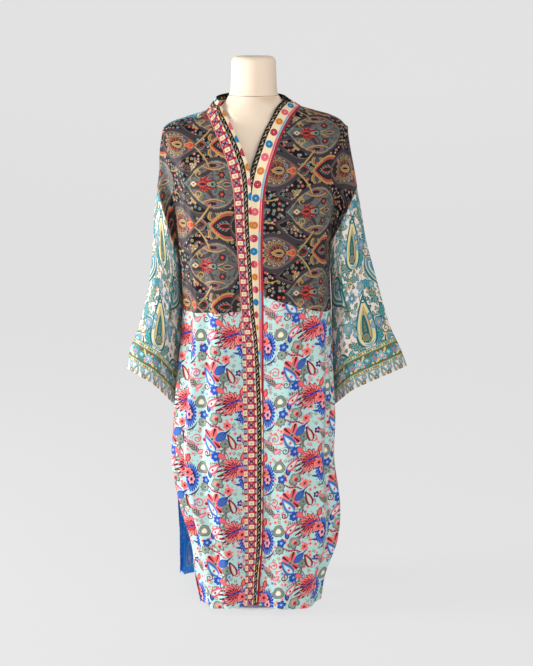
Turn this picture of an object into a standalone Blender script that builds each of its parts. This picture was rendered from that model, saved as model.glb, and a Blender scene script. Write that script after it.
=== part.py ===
# Kimono robe of pieced cloth, worn open on a limbless dress form.
# Metres, +Z up. The front faces -Y and the wearer's right side is at -X.
# The origin is the middle of the stand plate's underside.
import math

import bmesh
import bpy
import numpy as np

# Driving sizes of the cloth
wall = 0.0011
seamGap = 0.0003
cornerPlace = 0.80
slitTop = 0.43
bandOverlap = 0.0017
bandTuck = 0.0008
sleeveStart = 0.0012
underarmStart = 0.0060
underarmEase = 0.0042
neckHalf = 0.106
neckScoop = 0.044
sideInset = 0.00004
armholeInset = 0.004
bandInset = 0.0004
armholeSteps = 12
yokeRowsBelow = 5

# Driving sizes of the form and its stand
neckRadius = 0.0515
neckSeamHeight = 1.2235
neckTopHeight = 1.3110
neckCapRise = 0.014
torsoBottom = 0.500
poleRadius = 0.014
formClearance = 0.0014
plateRadius = 0.100
plateThickness = 0.008

# Half widths and depths of the body of the robe, from the shoulder corner to the hem
bodyColumns = ("height", "left", "right", "leftBack", "rightBack", "front", "crest", "back", "valley")
bodyRows = (
    (1.150, 0.2157, 0.2212, 0.2157, 0.2212, 0.118, 0.004, 0.098, 0.000),
    (1.050, 0.1930, 0.2010, 0.1930, 0.2010, 0.124, 0.008, 0.106, 0.014),
    (0.960, 0.1815, 0.1860, 0.1815, 0.1860, 0.126, 0.012, 0.102, 0.030),
    (0.882, 0.1765, 0.1735, 0.1765, 0.1735, 0.123, 0.012, 0.099, 0.026),
    (0.837, 0.1708, 0.1745, 0.1708, 0.1745, 0.121, 0.012, 0.098, 0.012),
    (0.735, 0.1660, 0.1800, 0.1660, 0.1800, 0.117, 0.014, 0.100, 0.000),
    (0.600, 0.1745, 0.1875, 0.1745, 0.1875, 0.115, 0.020, 0.110, 0.000),
    (0.480, 0.1875, 0.1905, 0.1875, 0.1905, 0.113, 0.025, 0.116, 0.000),
    (0.375, 0.1950, 0.1880, 0.1930, 0.1860, 0.112, 0.029, 0.120, 0.000),
    (0.250, 0.1750, 0.2020, 0.1880, 0.1830, 0.110, 0.032, 0.124, 0.000),
    (0.160, 0.1510, 0.1940, 0.1860, 0.1800, 0.109, 0.033, 0.127, 0.000),
    (0.080, 0.1430, 0.1700, 0.1870, 0.1700, 0.108, 0.034, 0.130, 0.000),
    (0.000, 0.1285, 0.1610, 0.1880, 0.1620, 0.108, 0.034, 0.132, 0.000),
)

# Height of the shoulder ridge over its distance from the middle
shoulderColumns = ("out", "left", "right")
shoulderRows = (
    (0.0000, 1.2240, 1.2250),
    (0.0600, 1.2100, 1.2160),
    (0.1050, 1.1900, 1.1990),
    (0.1440, 1.1780, 1.1880),
    (0.1780, 1.1670, 1.1780),
    (0.2000, 1.1560, 1.1660),
    (0.2120, 1.1440, 1.1540),
)

# Outer line of the drop shoulder and the sleeve, down to the cuff
outerColumns = ("height", "left", "right")
outerRows = (
    (1.150, 0.2065, 0.2130),
    (1.100, 0.2155, 0.2210),
    (1.050, 0.2170, 0.2315),
    (1.018, 0.2215, 0.2370),
    (0.960, 0.2305, 0.2485),
    (0.890, 0.2360, 0.2610),
    (0.820, 0.2430, 0.2805),
    (0.746, 0.2553, 0.3015),
    (0.680, 0.2740, 0.3225),
    (0.625, 0.2955, 0.3487),
    (0.580, 0.3045, 0.3655),
)

# Inner fold of each sleeve, from the underarm to the cuff
sleeves = {
    "left": dict(top=1.018, tip=0.580, underarm=0.837, innerX=(0.1708, 0.1840, 0.1925, 0.2010),
                 innerEnd=0.486, bulge=0.050, cuffBulge=0.062, crease=-0.45, lift=0.030),
    "right": dict(top=1.018, tip=0.585, underarm=0.882, innerX=(0.1735, 0.1930, 0.2050, 0.2140),
                  innerEnd=0.488, bulge=0.048, cuffBulge=0.064, crease=-0.50, lift=0.032),
}

# Edges of the two front bands. The neck edge is the free one, the outer edge is sewn to the panel.
bandColumns = ("neckHeight", "neckX", "neckY", "outerHeight", "outerX")
rightBandRows = (
    (1.2180, -0.0860, 0.0000, 1.1880, -0.1100),
    (1.2030, -0.0780, -0.0260, 1.1720, -0.1010),
    (1.1800, -0.0665, -0.0600, 1.1520, -0.0905),
    (1.1500, -0.0510, -0.0890, 1.1290, -0.0805),
    (1.1100, -0.0340, -0.1090, 1.0930, -0.0690),
    (1.0550, -0.0080, -0.1180, 1.0450, -0.0545),
    (0.9300, -0.0030, -0.1240, 0.9300, -0.0425),
    (0.7600, 0.0060, -0.1170, 0.7600, -0.0290),
    (0.5100, 0.0195, -0.1140, 0.5100, -0.0245),
    (0.3000, 0.0195, -0.1110, 0.3000, -0.0235),
    (0.1800, 0.0170, -0.1090, 0.1800, -0.0225),
    (0.0960, 0.0095, -0.1080, 0.0960, -0.0212),
    (0.0180, 0.0055, -0.1080, 0.0180, -0.0230),
)
leftBandRows = (
    (1.2180, 0.0830, 0.0000, 1.1960, 0.1050),
    (1.2030, 0.0745, -0.0260, 1.1830, 0.0985),
    (1.1800, 0.0625, -0.0600, 1.1640, 0.0880),
    (1.1500, 0.0470, -0.0890, 1.1350, 0.0730),
    (1.1100, 0.0270, -0.1090, 1.0960, 0.0600),
    (1.0550, -0.0040, -0.1180, 1.0480, 0.0355),
    (0.9300, -0.0165, -0.1240, 0.9300, 0.0215),
    (0.7600, -0.0165, -0.1170, 0.7600, 0.0225),
    (0.5100, -0.0160, -0.1140, 0.5100, 0.0225),
    (0.3000, -0.0160, -0.1110, 0.3000, 0.0225),
    (0.1800, -0.0170, -0.1090, 0.1800, 0.0210),
    (0.0960, -0.0175, -0.1080, 0.0960, 0.0150),
    (0.0180, -0.0175, -0.1080, 0.0180, 0.0100),
)

# Folds. Place runs from 0 at the front opening to 1 at a side and 2 at the middle of the back,
# negative on the wearer's right. Rise is outward, and a trough has a negative rise.
foldColumns = ("place", "placeLow", "starts", "full", "rise", "width")
foldRows = (
    (-0.30, -0.26, 0.98, 0.55, 0.005, 0.055),
    (-0.44, -0.40, 1.02, 0.60, -0.006, 0.045),
    (-0.56, -0.54, 1.02, 0.50, 0.008, 0.050),
    (-0.68, -0.66, 0.96, 0.55, -0.009, 0.045),
    (-0.84, -0.80, 0.90, 0.50, 0.008, 0.050),
    (0.26, 0.24, 0.90, 0.40, 0.005, 0.060),
    (0.42, 0.40, 0.98, 0.50, -0.005, 0.050),
    (0.58, 0.55, 1.00, 0.50, 0.006, 0.055),
    (0.70, 0.72, 0.80, 0.35, -0.011, 0.040),
    (0.84, 0.86, 0.72, 0.30, 0.010, 0.050),
    (-1.18, -1.15, 0.80, 0.35, -0.010, 0.060),
    (-1.36, -1.34, 0.95, 0.40, 0.010, 0.075),
    (-1.55, -1.56, 1.00, 0.40, -0.011, 0.070),
    (-1.76, -1.78, 1.00, 0.45, 0.009, 0.080),
    (-1.96, -1.98, 1.02, 0.45, -0.009, 0.075),
    (1.20, 1.16, 0.80, 0.35, -0.009, 0.060),
    (1.40, 1.36, 0.96, 0.45, 0.010, 0.080),
    (1.60, 1.58, 0.99, 0.40, -0.012, 0.070),
    (1.80, 1.78, 1.00, 0.45, 0.010, 0.075),
)

# Sections of the torso: half width, depth to the front and depth to the back
torsoColumns = ("height", "half", "front", "back")
torsoRows = (
    (1.2230, 0.0570, 0.0565, 0.0560),
    (1.2120, 0.0640, 0.0580, 0.0565),
    (1.1990, 0.0740, 0.0565, 0.0560),
    (1.1900, 0.0860, 0.0570, 0.0550),
    (1.1850, 0.0920, 0.0580, 0.0540),
    (1.1800, 0.1110, 0.0620, 0.0560),
    (1.1700, 0.1860, 0.0740, 0.0610),
    (1.1560, 0.2000, 0.0840, 0.0700),
    (1.1300, 0.1960, 0.0940, 0.0780),
    (1.0800, 0.1780, 0.1060, 0.0850),
    (1.0100, 0.1560, 0.1150, 0.0880),
    (0.9400, 0.1450, 0.1130, 0.0840),
    (0.8400, 0.1250, 0.0950, 0.0800),
    (0.7600, 0.1220, 0.0900, 0.0840),
    (0.6600, 0.1450, 0.0980, 0.0940),
    (0.5700, 0.1580, 0.1000, 0.0980),
    (0.5150, 0.1570, 0.0970, 0.0960),
    (0.5000, 0.1510, 0.0920, 0.0910),
)


# Reading of the tables

def readTable(columns, rows, name, at):
    data = np.array(sorted(rows))
    places = data[:, 0]
    values = data[:, columns.index(name)]
    slopes = np.gradient(values, places)
    at = np.clip(np.asarray(at, dtype=float), places[0], places[-1])
    low = np.clip(np.searchsorted(places, at) - 1, 0, len(places) - 2)
    step = places[low + 1] - places[low]
    part = (at - places[low]) / step
    rest = 1 - part
    return (
        values[low] * (1 + 2 * part) * rest**2
        + values[low + 1] * (1 + 2 * rest) * part**2
        + slopes[low] * step * part * rest**2
        - slopes[low + 1] * step * rest * part**2
    )


def ease(part):
    part = np.clip(part, 0, 1)
    return part * part * (3 - 2 * part)


def mix(start, end, part):
    return start + (end - start) * part


# The shaped surface of the robe. A face is -1 for the front and 1 for the back.

def armhole(side):
    sleeve = sleeves[side]
    outer = float(readTable(outerColumns, outerRows, side, sleeve["top"]))
    middle = ((outer + sleeve["innerX"][0]) / 2, (sleeve["top"] + sleeve["underarm"]) / 2)
    half = ((outer - sleeve["innerX"][0]) / 2, (sleeve["top"] - sleeve["underarm"]) / 2)
    return middle, half, sleeve["bulge"]


def cornerPoint(side):
    half = float(readTable(bodyColumns, bodyRows, side, 1.150))
    out = half * math.sin(cornerPlace * math.pi / 2) ** 0.9
    return out, float(readTable(shoulderColumns, shoulderRows, side, out))


def ridgeHeight(side, place):
    # Height of the shoulder fold line over a column of the cloth
    half = float(readTable(bodyColumns, bodyRows, side, 1.150))
    turn = np.minimum(place, cornerPlace) * math.pi / 2
    ridge = readTable(shoulderColumns, shoulderRows, side, half * np.sin(turn) ** 0.9)
    drop = np.clip((place - cornerPlace) / (1 - cornerPlace), 0, 1)
    return mix(ridge, sleeves[side]["top"], drop)


def ridgeSpan(side, place):
    # Height over which the cloth rounds down from the ridge to its full depth
    span = mix(0.17, 0.10, np.clip((place - 0.3) / (cornerPlace - 0.3), 0, 1))
    return mix(span, armhole(side)[1][1], np.clip((place - cornerPlace) / (1 - cornerPlace), 0, 1))


def edgeOffset(side, face, height):
    # Where the side edge of a panel lies: on the armhole, the side seam or the slit
    middle, half, bulge = armhole(side)
    corner = cornerPoint(side)[1]
    top = sleeves[side]["top"]
    under = sleeves[side]["underarm"]
    name = side if face < 0 else side + "Back"
    body = readTable(bodyColumns, bodyRows, name, height)
    outer = readTable(outerColumns, outerRows, side, np.minimum(height, corner))
    ring = middle[0] + half[0] * (height - middle[1]) / half[1]
    x = np.where(height > top, outer, np.where(height > under, ring, body))
    low = np.clip((middle[1] - height) / half[1], 0, 1)
    ringDepth = bulge * np.sqrt(1 - low**2)
    slitDepth = (0.052 if side == "left" else 0.022) * ease((slitTop - height) / slitTop)
    depth = np.where(height > under, ringDepth, slitDepth)
    return x, depth


def foldSum(around, height):
    total = np.zeros_like(around)
    for place, placeLow, starts, full, rise, width in foldRows:
        grown = ease((starts - height) / (starts - full))
        centre = mix(place, placeLow, np.clip((starts - height) / starts, 0, 1))
        away = (around - centre + 2) % 4 - 2
        total += rise * grown * np.exp(-((away / width) ** 2))
    return total


def robePoint(side, face, place, height):
    # Point of the cloth's middle surface. Place is 0 at the middle and 1 at the side edge.
    place = np.asarray(place, dtype=float)
    height = np.asarray(height, dtype=float)
    name = side if face < 0 else side + "Back"
    half = readTable(bodyColumns, bodyRows, name, height)
    corner = cornerPoint(side)[1]
    top = sleeves[side]["top"]
    end = mix(cornerPlace, 1, np.clip((corner - height) / (corner - top), 0.02, 1))
    past = np.clip((place - cornerPlace) / (end - cornerPlace), 0, 1)
    turn = np.where(place < cornerPlace, place, mix(cornerPlace, 1, past)) * math.pi / 2
    edgeX, edgeDepth = edgeOffset(side, face, height)
    x = half * np.sin(turn) ** 0.9 + ease(past) * (edgeX - half)
    if face < 0:
        crest = readTable(bodyColumns, bodyRows, "crest", height)
        depth = readTable(bodyColumns, bodyRows, "front", height) + crest * (1 - np.exp(-((x / 0.045) ** 2)))
    else:
        depth = readTable(bodyColumns, bodyRows, "back", height)
    fall = ridgeHeight(side, place) - height
    filled = np.sqrt(1 - (1 - np.clip(fall / ridgeSpan(side, place), 0, 1)) ** 2)
    y = (depth * np.cos(turn).clip(0, 1) ** 0.62 + ease(past) * edgeDepth) * filled
    y -= readTable(bodyColumns, bodyRows, "valley", height) * np.sin(math.pi * past) ** 2
    sign = -1 if side == "left" else 1
    x, y = sign * x, face * y
    around = sign * (place if face < 0 else 2 - place)
    reach = np.hypot(x, y) + 1e-9
    fold = foldSum(around, height)
    return np.stack([x + x / reach * fold, y + y / reach * fold, height + 0 * x], axis=-1)


def placeAt(side, x, height):
    # Place of the front column that lies at x
    half = readTable(bodyColumns, bodyRows, side, height)
    return np.arcsin(np.clip(np.abs(x) / half, 0, 1) ** (1 / 0.9)) / (math.pi / 2)


def frontAt(x, height):
    left = robePoint("left", -1, placeAt("left", x, height), height)
    right = robePoint("right", -1, placeAt("right", x, height), height)
    y = np.where(np.asarray(x) < 0, left[..., 1], right[..., 1])
    return np.stack([x + 0 * y, y, height + 0 * y], axis=-1)


# Seam lines

def waistSeam(side, x):
    if side == "left":
        return 0.745 - 0.075 * (np.abs(x) - 0.031)
    return 0.780 - 0.330 * (np.abs(x) - 0.021)


def waistSeamBack(x):
    return 0.745 + 0.004 * np.cos(x / 0.17)


def hemHeight(side, face, place):
    if face < 0:
        return 0.0200 - 0.0075 * ease(place) + 0.002 * np.sin(place * 9)
    flip = 0.016 if side == "left" else 0.004
    return 0.0180 + flip * ease((place - 0.6) / 0.4)


# Walls made from grids of points

def newObject(name, points, faces, colour, roughness, metallic=0.0):
    mesh = bpy.data.meshes.new(name)
    mesh.from_pydata([tuple(point) for point in points], [], faces)
    work = bmesh.new()
    work.from_mesh(mesh)
    bmesh.ops.recalc_face_normals(work, faces=work.faces)
    work.to_mesh(mesh)
    work.free()
    mesh.shade_smooth()
    mesh.set_sharp_from_angle(angle=math.radians(50))
    material = bpy.data.materials.new(name)
    material.use_nodes = True
    shader = material.node_tree.nodes["Principled BSDF"]
    shader.inputs["Base Color"].default_value = (*colour, 1)
    shader.inputs["Roughness"].default_value = roughness
    shader.inputs["Metallic"].default_value = metallic
    mesh.materials.append(material)
    thing = bpy.data.objects.new(name, mesh)
    bpy.context.collection.objects.link(thing)
    return thing


def gridNormals(grid, closed):
    across = np.gradient(grid, axis=1)
    if closed:
        across = (np.roll(grid, -1, axis=1) - np.roll(grid, 1, axis=1)) / 2
    down = np.gradient(grid, axis=0)
    normals = np.cross(across, down)
    return normals / (np.linalg.norm(normals, axis=-1, keepdims=True) + 1e-12)


def clothWall(name, grid, colour, roughness, closed=False, thickness=wall):
    # A closed solid of even thickness on both sides of a grid of rows and columns
    normals = gridNormals(grid, closed)
    rows, cols = grid.shape[:2]
    front = (grid + normals * thickness / 2).reshape(-1, 3)
    back = (grid - normals * thickness / 2).reshape(-1, 3)
    count = rows * cols

    def at(row, col, layer=0):
        return row * cols + col % cols + layer * count

    faces = []
    spans = cols if closed else cols - 1
    for row in range(rows - 1):
        for col in range(spans):
            face = (at(row, col), at(row, col + 1), at(row + 1, col + 1), at(row + 1, col))
            faces.append(face)
            faces.append(tuple(point + count for point in reversed(face)))
    for row in (0, rows - 1):
        for col in range(spans):
            faces.append((at(row, col), at(row, col, 1), at(row, col + 1, 1), at(row, col + 1)))
    if not closed:
        for col in (0, cols - 1):
            for row in range(rows - 1):
                faces.append((at(row, col), at(row, col, 1), at(row + 1, col, 1), at(row + 1, col)))
    return newObject(name, np.vstack([front, back]), faces, colour, roughness)


# Front panels

def bandRows(side):
    return rightBandRows if side == "left" else leftBandRows


def bandOuter(side, height):
    ordered = [(row[3], row[4]) for row in bandRows(side)]
    return readTable(("height", "x"), ordered, "x", height)


def seamForward(side, place):
    # How far in front of the shoulder ridge the back panel reaches
    out = np.abs(readTable(bodyColumns, bodyRows, side, 1.150)) * np.sin(np.minimum(place, 1) * math.pi / 2) ** 0.9
    past = ease((out - neckHalf) / 0.020)
    if side == "left":
        return 0.0004 + 0.015 * past * (1 - ease((place - 0.74) / 0.18))
    return 0.0004 + past * (0.003 + 0.006 * ease((place - 0.80) / 0.08) * (1 - ease((place - 0.94) / 0.06)))


def ridgeFall(side, place, forward):
    # Height lost where the cloth has come a given distance forward from the ridge
    depth = -robePoint(side, -1, place, ridgeHeight(side, place) - 0.30 * ridgeSpan(side, place))[..., 1] / 0.714
    share = np.clip(forward / np.maximum(depth, 0.004), 0, 0.9)
    return ridgeSpan(side, place) * (1 - np.sqrt(1 - share**2))


def sideEnd(side, height):
    # A panel stops a little short of the armhole, and a hair short of the side seam
    onArmhole = ease((height - sleeves[side]["underarm"] + 0.004) / 0.012)
    return 1 - mix(sideInset, armholeInset, onArmhole)


def rowShares(side, low):
    # Shares of a yoke's height at its side edge, matched to the points round the armhole
    turn = np.arange(armholeSteps + 1) / armholeSteps * math.pi
    top = sleeves[side]["top"]
    under = sleeves[side]["underarm"]
    ring = (top + under) / 2 + (top - under) / 2 * np.cos(turn)
    below = np.linspace(under, low, yokeRowsBelow + 1)[1:]
    return (top - np.append(ring, below)) / (top - low)


def frontShares(cols):
    across = np.linspace(0, 1, cols)
    return across + 0.10 * np.sin(2 * math.pi * across) / (2 * math.pi)


def frontGrid(side, rows, cols, part):
    # The yoke runs from the shoulder to the waist seam, the skirt from there to the hem
    down = np.linspace(0, 1, rows)[:, None]
    across = frontShares(cols)[None, :]
    sign = -1 if side == "left" else 1
    inset = seamGap / 2
    inner = np.full((rows, 1), 0.4)
    height = np.full((rows, cols), 0.9)
    place = mix(inner, sideEnd(side, height), across)
    if part == "yoke":
        atSide = rowShares(side, float(waistSeam(side, 0.16 * sign)) + inset)[:, None]
        atFront = mix(down, down**2, 0.85)
    for step in range(30):
        x = robePoint(side, -1, place, np.full(place.shape, 0.9))[..., 0]
        seam = waistSeam(side, np.where(np.abs(x) < 0.16, x, 0.16 * sign))
        if part == "yoke":
            top = ridgeHeight(side, place) - ridgeFall(side, place, seamForward(side, place) + inset)
            low = seam + inset
            down = mix(atFront, atSide, ease((place - 0.55) / 0.45))
        else:
            top = seam - inset
            low = hemHeight(side, -1, place)
        height = mix(top, low, down)
        edge = bandOuter(side, height[:, :1]) + sign * bandInset
        inner = placeAt(side, edge, height[:, :1])
        place = mix(inner, sideEnd(side, height), across)
    return robePoint(side, -1, place, height), place


# Back panels, in one grid from one side edge to the other

def backColumns(rightTop, leftTop, neckCols):
    # Columns of the back: those of each front at the shoulder, and some more behind the neck
    neck = np.concatenate([-rightTop[0] * np.linspace(1, 0, neckCols)[1:],
                           leftTop[0] * np.linspace(0, 1, neckCols)[1:-1]])
    return np.concatenate([-rightTop[::-1], neck, leftTop])


def neckScoopFall(side, place):
    # How far the back neck edge lies below the shoulder ridge's line
    ridge = ridgeHeight(side, place)
    out = np.abs(robePoint(side, 1, place, ridge - 0.0001)[..., 0])
    return neckScoop * np.clip(1 - (out / neckHalf) ** 2, 0, 1)


def backGrid(rows, columns, part):
    down = np.linspace(0, 1, rows)
    grid = np.zeros((rows, len(columns), 3))
    for index, value in enumerate(columns):
        side = "left" if value < 0 else "right"
        place = abs(value)
        seam = float(waistSeamBack(robePoint(side, 1, place, 0.9)[0]))
        if part == "skirt":
            height = mix(seam - seamGap / 2, float(hemHeight(side, 1, place)), down)
            reach = np.minimum(place / columns.max(), 1) * (1 - sideInset)
            grid[:, index] = robePoint(side, 1, np.full(rows, reach), height)
            continue
        ridge = float(ridgeHeight(side, place))
        whole = ridge - seam - seamGap / 2
        scoop = float(neckScoopFall(side, place))
        forward = float(seamForward(side, place)) - seamGap / 2
        start = -math.sqrt(float(ridgeFall(side, place, forward)) / whole)
        if scoop > 0:
            start = math.sqrt(scoop / whole)
        atSide = np.sqrt(rowShares(side, seam + seamGap / 2))
        run = mix(start, 1, mix(down, atSide, float(ease((place - 0.55) / 0.45))))
        height = ridge - whole * run**2
        reach = place / (1 - armholeInset) * sideEnd(side, height)
        ahead = robePoint(side, -1, reach, height)
        behind = robePoint(side, 1, reach, height)
        grid[:, index] = np.where(run[:, None] < 0, ahead, behind)
    return grid


# Bands

def bandGrid(side, edgeHeights, cols):
    # Each row starts from the panel's own edge point and crosses to the free neck edge
    table = np.array(bandRows(side))
    ordered = [(step, *row) for step, row in enumerate(table)]
    columns = ("step",) + bandColumns
    fine = np.linspace(0, len(table) - 1, 400)
    fineHeights = readTable(columns, ordered, "outerHeight", fine)
    at = np.interp(-edgeHeights, -fineHeights, fine)
    neckZ, neckX, neckY = (readTable(columns, ordered, name, at) for name in bandColumns[:3])
    sign = -1 if side == "left" else 1
    outerZ = edgeHeights
    outerX = bandOuter(side, outerZ) - sign * bandInset
    grid = np.zeros((len(at), cols, 3))
    onSurface = frontAt(neckX, neckZ)[:, 1]
    lifted = np.where(neckZ > 1.10, neckY - onSurface, 0) * ease((neckZ - 1.10) / 0.05)
    for index, part in enumerate(np.linspace(0, 1, cols)):
        x = mix(outerX, neckX, part)
        z = mix(outerZ, neckZ, part)
        y = frontAt(x, z)[:, 1] + lifted * part
        below = ease((1.09 - z) / 0.05)
        if side == "left":
            y = y - bandOverlap * below * min(1, part / 0.25)
        else:
            y = y + bandTuck * below * min(1, part / 0.10)
        grid[:, index] = np.stack([x, y, z], axis=-1)
    return grid


def backBandGrid(rows, cols):
    # The stretch of band that stands up behind the neck, on the back panel's neck edge
    grid = np.zeros((rows, cols, 3))
    for index, share in enumerate(np.linspace(-1, 1, rows)):
        side = "left" if share < 0 else "right"
        turn = share * math.radians(88.5)
        place = float(placeAt(side, neckHalf * abs(math.sin(turn)), 1.150))
        fall = float(ridgeHeight(side, place)) - float(neckScoopFall(side, place))
        low = robePoint(side, 1, place, fall)
        low[2] += wall + 3 * seamGap
        sideX = 0.0860 if side == "left" else 0.0830
        high = np.array((sideX * math.sin(turn), 0.0660 * math.cos(turn), 1.218 + 0.010 * math.cos(turn)))
        for spot, part in enumerate(np.linspace(0, 1, cols)):
            grid[index, spot] = mix(low, high, part)
    return grid


# Sleeves

def sleeveGrid(side, rows, cols):
    sleeve = sleeves[side]
    sign = -1 if side == "left" else 1
    turn = (np.arange(cols) / cols * 2 * math.pi)[None, :]
    width = np.cos(turn)
    nearUnderarm = ((1 - width) / 2) ** 6
    down = mix(mix(sleeveStart, underarmStart, nearUnderarm), 1, np.linspace(0, 1, rows)[:, None])
    outerZ = mix(sleeve["top"], sleeve["tip"], down)
    outerX = readTable(outerColumns, outerRows, side, outerZ)
    innerZ = mix(sleeve["underarm"], sleeve["innerEnd"], down)
    knots = list(zip((0, 0.35, 0.7, 1), sleeve["innerX"]))
    innerX = readTable(("down", "x"), knots, "x", down) + underarmEase * nearUnderarm
    x = (outerX + innerX) / 2 + (outerX - innerX) / 2 * width
    z = (outerZ + innerZ) / 2 + (outerZ - innerZ) / 2 * width
    crease = sleeve["crease"]
    toCrease = np.where(width > crease, (1 - width) / (1 - crease), (1 + width) / (1 + crease))
    sharp = np.clip(toCrease, 0, 1) ** 0.8
    round_ = np.abs(np.sin(turn))
    shape = mix(round_, sharp, ease(down / 0.45) * np.where(np.sin(turn) > 0, 0.85, 0.45))
    bulge = mix(sleeve["bulge"], sleeve["cuffBulge"], ease(down))
    bulge = bulge * np.where(np.sin(turn) > 0, 1, mix(1, 0.75, ease(down)))
    y = -np.sign(np.sin(turn)) * bulge * shape
    ripple = 0.004 * ease((down - 0.15) / 0.5) * np.sin(3 * turn + 2.2 * down)
    y = y + ripple * np.sin(turn)
    z = z + sleeve["lift"] * ease((down - 0.55) / 0.45) * shape * (np.sin(turn) > 0)
    return np.stack([sign * x, y, z], axis=-1)


# The dress form

def ringSolid(name, rings, colour, roughness, metallic=0.0):
    # A closed solid through rings of equal point counts, with flat ends
    rings = np.array(rings)
    count, around = rings.shape[:2]
    points = rings.reshape(-1, 3)
    faces = []
    for ring in range(count - 1):
        for spot in range(around):
            after = (spot + 1) % around
            faces.append((ring * around + spot, ring * around + after,
                          (ring + 1) * around + after, (ring + 1) * around + spot))
    faces.append(tuple(range(around)))
    faces.append(tuple(range((count - 1) * around, count * around)))
    return newObject(name, points, faces, colour, roughness, metallic)


def roundRing(radius, height, around=40):
    turn = np.arange(around) / around * 2 * math.pi
    return np.stack([radius * np.cos(turn), radius * np.sin(turn), np.full(around, height)], axis=-1)


def ridgeOut(side, height):
    # How far out the shoulder ridge passes at a height
    outs = np.linspace(0, 0.212, 80)
    ridge = readTable(shoulderColumns, shoulderRows, side, outs)
    return float(np.interp(-height, -ridge, outs))


def torsoRings(around=40):
    # The torso keeps inside the robe: it takes the smaller of its own depth and the robe's
    heights = [row[0] for row in torsoRows]
    heights += [(high + low) / 2 for high, low in zip(heights[5:-2], heights[6:-1])]
    turns = np.arange(around) / around * 2 * math.pi
    rings = []
    for height in sorted(heights):
        own = float(readTable(torsoColumns, torsoRows, "half", height))
        ring = []
        for turn in turns:
            side = "left" if math.cos(turn) < 0 else "right"
            face = -1 if math.sin(turn) < 0 else 1
            under = 1.110 < height < 1.195
            half = min(own, ridgeOut(side, height + formClearance)) if under else own
            depth = float(readTable(torsoColumns, torsoRows, "front" if face < 0 else "back", height))
            x = half * math.cos(turn)
            y = depth * abs(math.sin(turn)) ** 0.92
            place = float(placeAt(side, x, height))
            kept = 0.93 - 0.20 * float(ease((height - 1.164) / 0.014))
            robe = abs(float(robePoint(side, face, place, height)[1])) * kept - wall - formClearance
            robe = max(robe, 1e-5)
            y = (y + 1e-6) * robe / ((y + 1e-6) ** 6 + robe**6) ** (1 / 6) if height < 1.195 else y
            if height > 1.179:
                y = mix(depth * abs(math.sin(turn)) ** 0.92, y, float(ease((abs(x) - 0.040) / 0.02)))
            ring.append((x, face * y, height))
        rings.append(ring)
    return rings


def buildForm():
    cream = (0.86, 0.74, 0.60)
    ringSolid("form_torso", torsoRings(), cream, 0.8)
    seam = neckSeamHeight + seamGap
    cap = neckTopHeight - neckCapRise
    rings = [roundRing(neckRadius + 0.0050, seam), roundRing(neckRadius + 0.0020, seam + 0.010)]
    rings += [roundRing(neckRadius + 0.0005, seam + 0.028), roundRing(neckRadius - 0.0010, cap)]
    for step in range(1, 5):
        turn = step / 5 * math.pi / 2
        rings.append(roundRing(neckRadius - 0.001 - neckCapRise * (1 - math.cos(turn)),
                               cap + neckCapRise * math.sin(turn)))
    ringSolid("form_neck", rings, cream, 0.8)
    pole = [roundRing(poleRadius, height, 24) for height in (plateThickness + seamGap, torsoBottom - seamGap)]
    ringSolid("stand_pole", pole, (0.75, 0.76, 0.77), 0.3, 1.0)
    bevel = 0.0015
    plate = [roundRing(plateRadius - bevel, 0, 48), roundRing(plateRadius, bevel, 48),
             roundRing(plateRadius, plateThickness - bevel, 48),
             roundRing(plateRadius - bevel, plateThickness, 48)]
    ringSolid("stand_plate", plate, (0.80, 0.80, 0.79), 0.4, 0.0)


def buildRobe():
    black, floral = (0.075, 0.065, 0.080), (0.52, 0.66, 0.64)
    turquoise, blue, leaf = (0.04, 0.42, 0.52), (0.05, 0.30, 0.62), (0.45, 0.62, 0.58)
    crimson, cream = (0.42, 0.06, 0.10), (0.80, 0.70, 0.56)
    yokeRows = armholeSteps + yokeRowsBelow + 1
    rightYoke, rightPlaces = frontGrid("left", yokeRows, 16, "yoke")
    leftYoke, leftPlaces = frontGrid("right", yokeRows, 16, "yoke")
    rightSkirt = frontGrid("left", 13, 16, "skirt")[0]
    leftSkirt = frontGrid("right", 13, 16, "skirt")[0]
    rightEdge = np.concatenate([rightYoke[:, 0, 2], rightSkirt[1:, 0, 2]])
    leftEdge = np.concatenate([leftYoke[:, 0, 2], leftSkirt[1:, 0, 2]])
    columns = backColumns(rightPlaces[0], leftPlaces[0], 5)
    clothWall("right_front_yoke", rightYoke, black, 0.5)
    clothWall("left_front_yoke", leftYoke, black, 0.5)
    clothWall("right_front_skirt", rightSkirt, floral, 0.5)
    clothWall("left_front_skirt", leftSkirt, floral, 0.5)
    clothWall("back_yoke", backGrid(yokeRows, columns, "yoke"), turquoise, 0.5)
    clothWall("back_skirt", backGrid(12, columns, "skirt"), blue, 0.5)
    clothWall("right_sleeve", sleeveGrid("left", 12, armholeSteps * 2), leaf, 0.5, closed=True)
    clothWall("left_sleeve", sleeveGrid("right", 12, armholeSteps * 2), leaf, 0.5, closed=True)
    clothWall("right_front_band", bandGrid("left", rightEdge, 5), crimson, 0.5)
    clothWall("left_front_band", bandGrid("right", leftEdge, 5), cream, 0.5)
    clothWall("back_neck_band", backBandGrid(15, 4), crimson, 0.5)


for old in list(bpy.data.objects):
    bpy.data.objects.remove(old, do_unlink=True)
buildForm()
buildRobe()
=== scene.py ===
import math
from functools import partial, partialmethod

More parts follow.
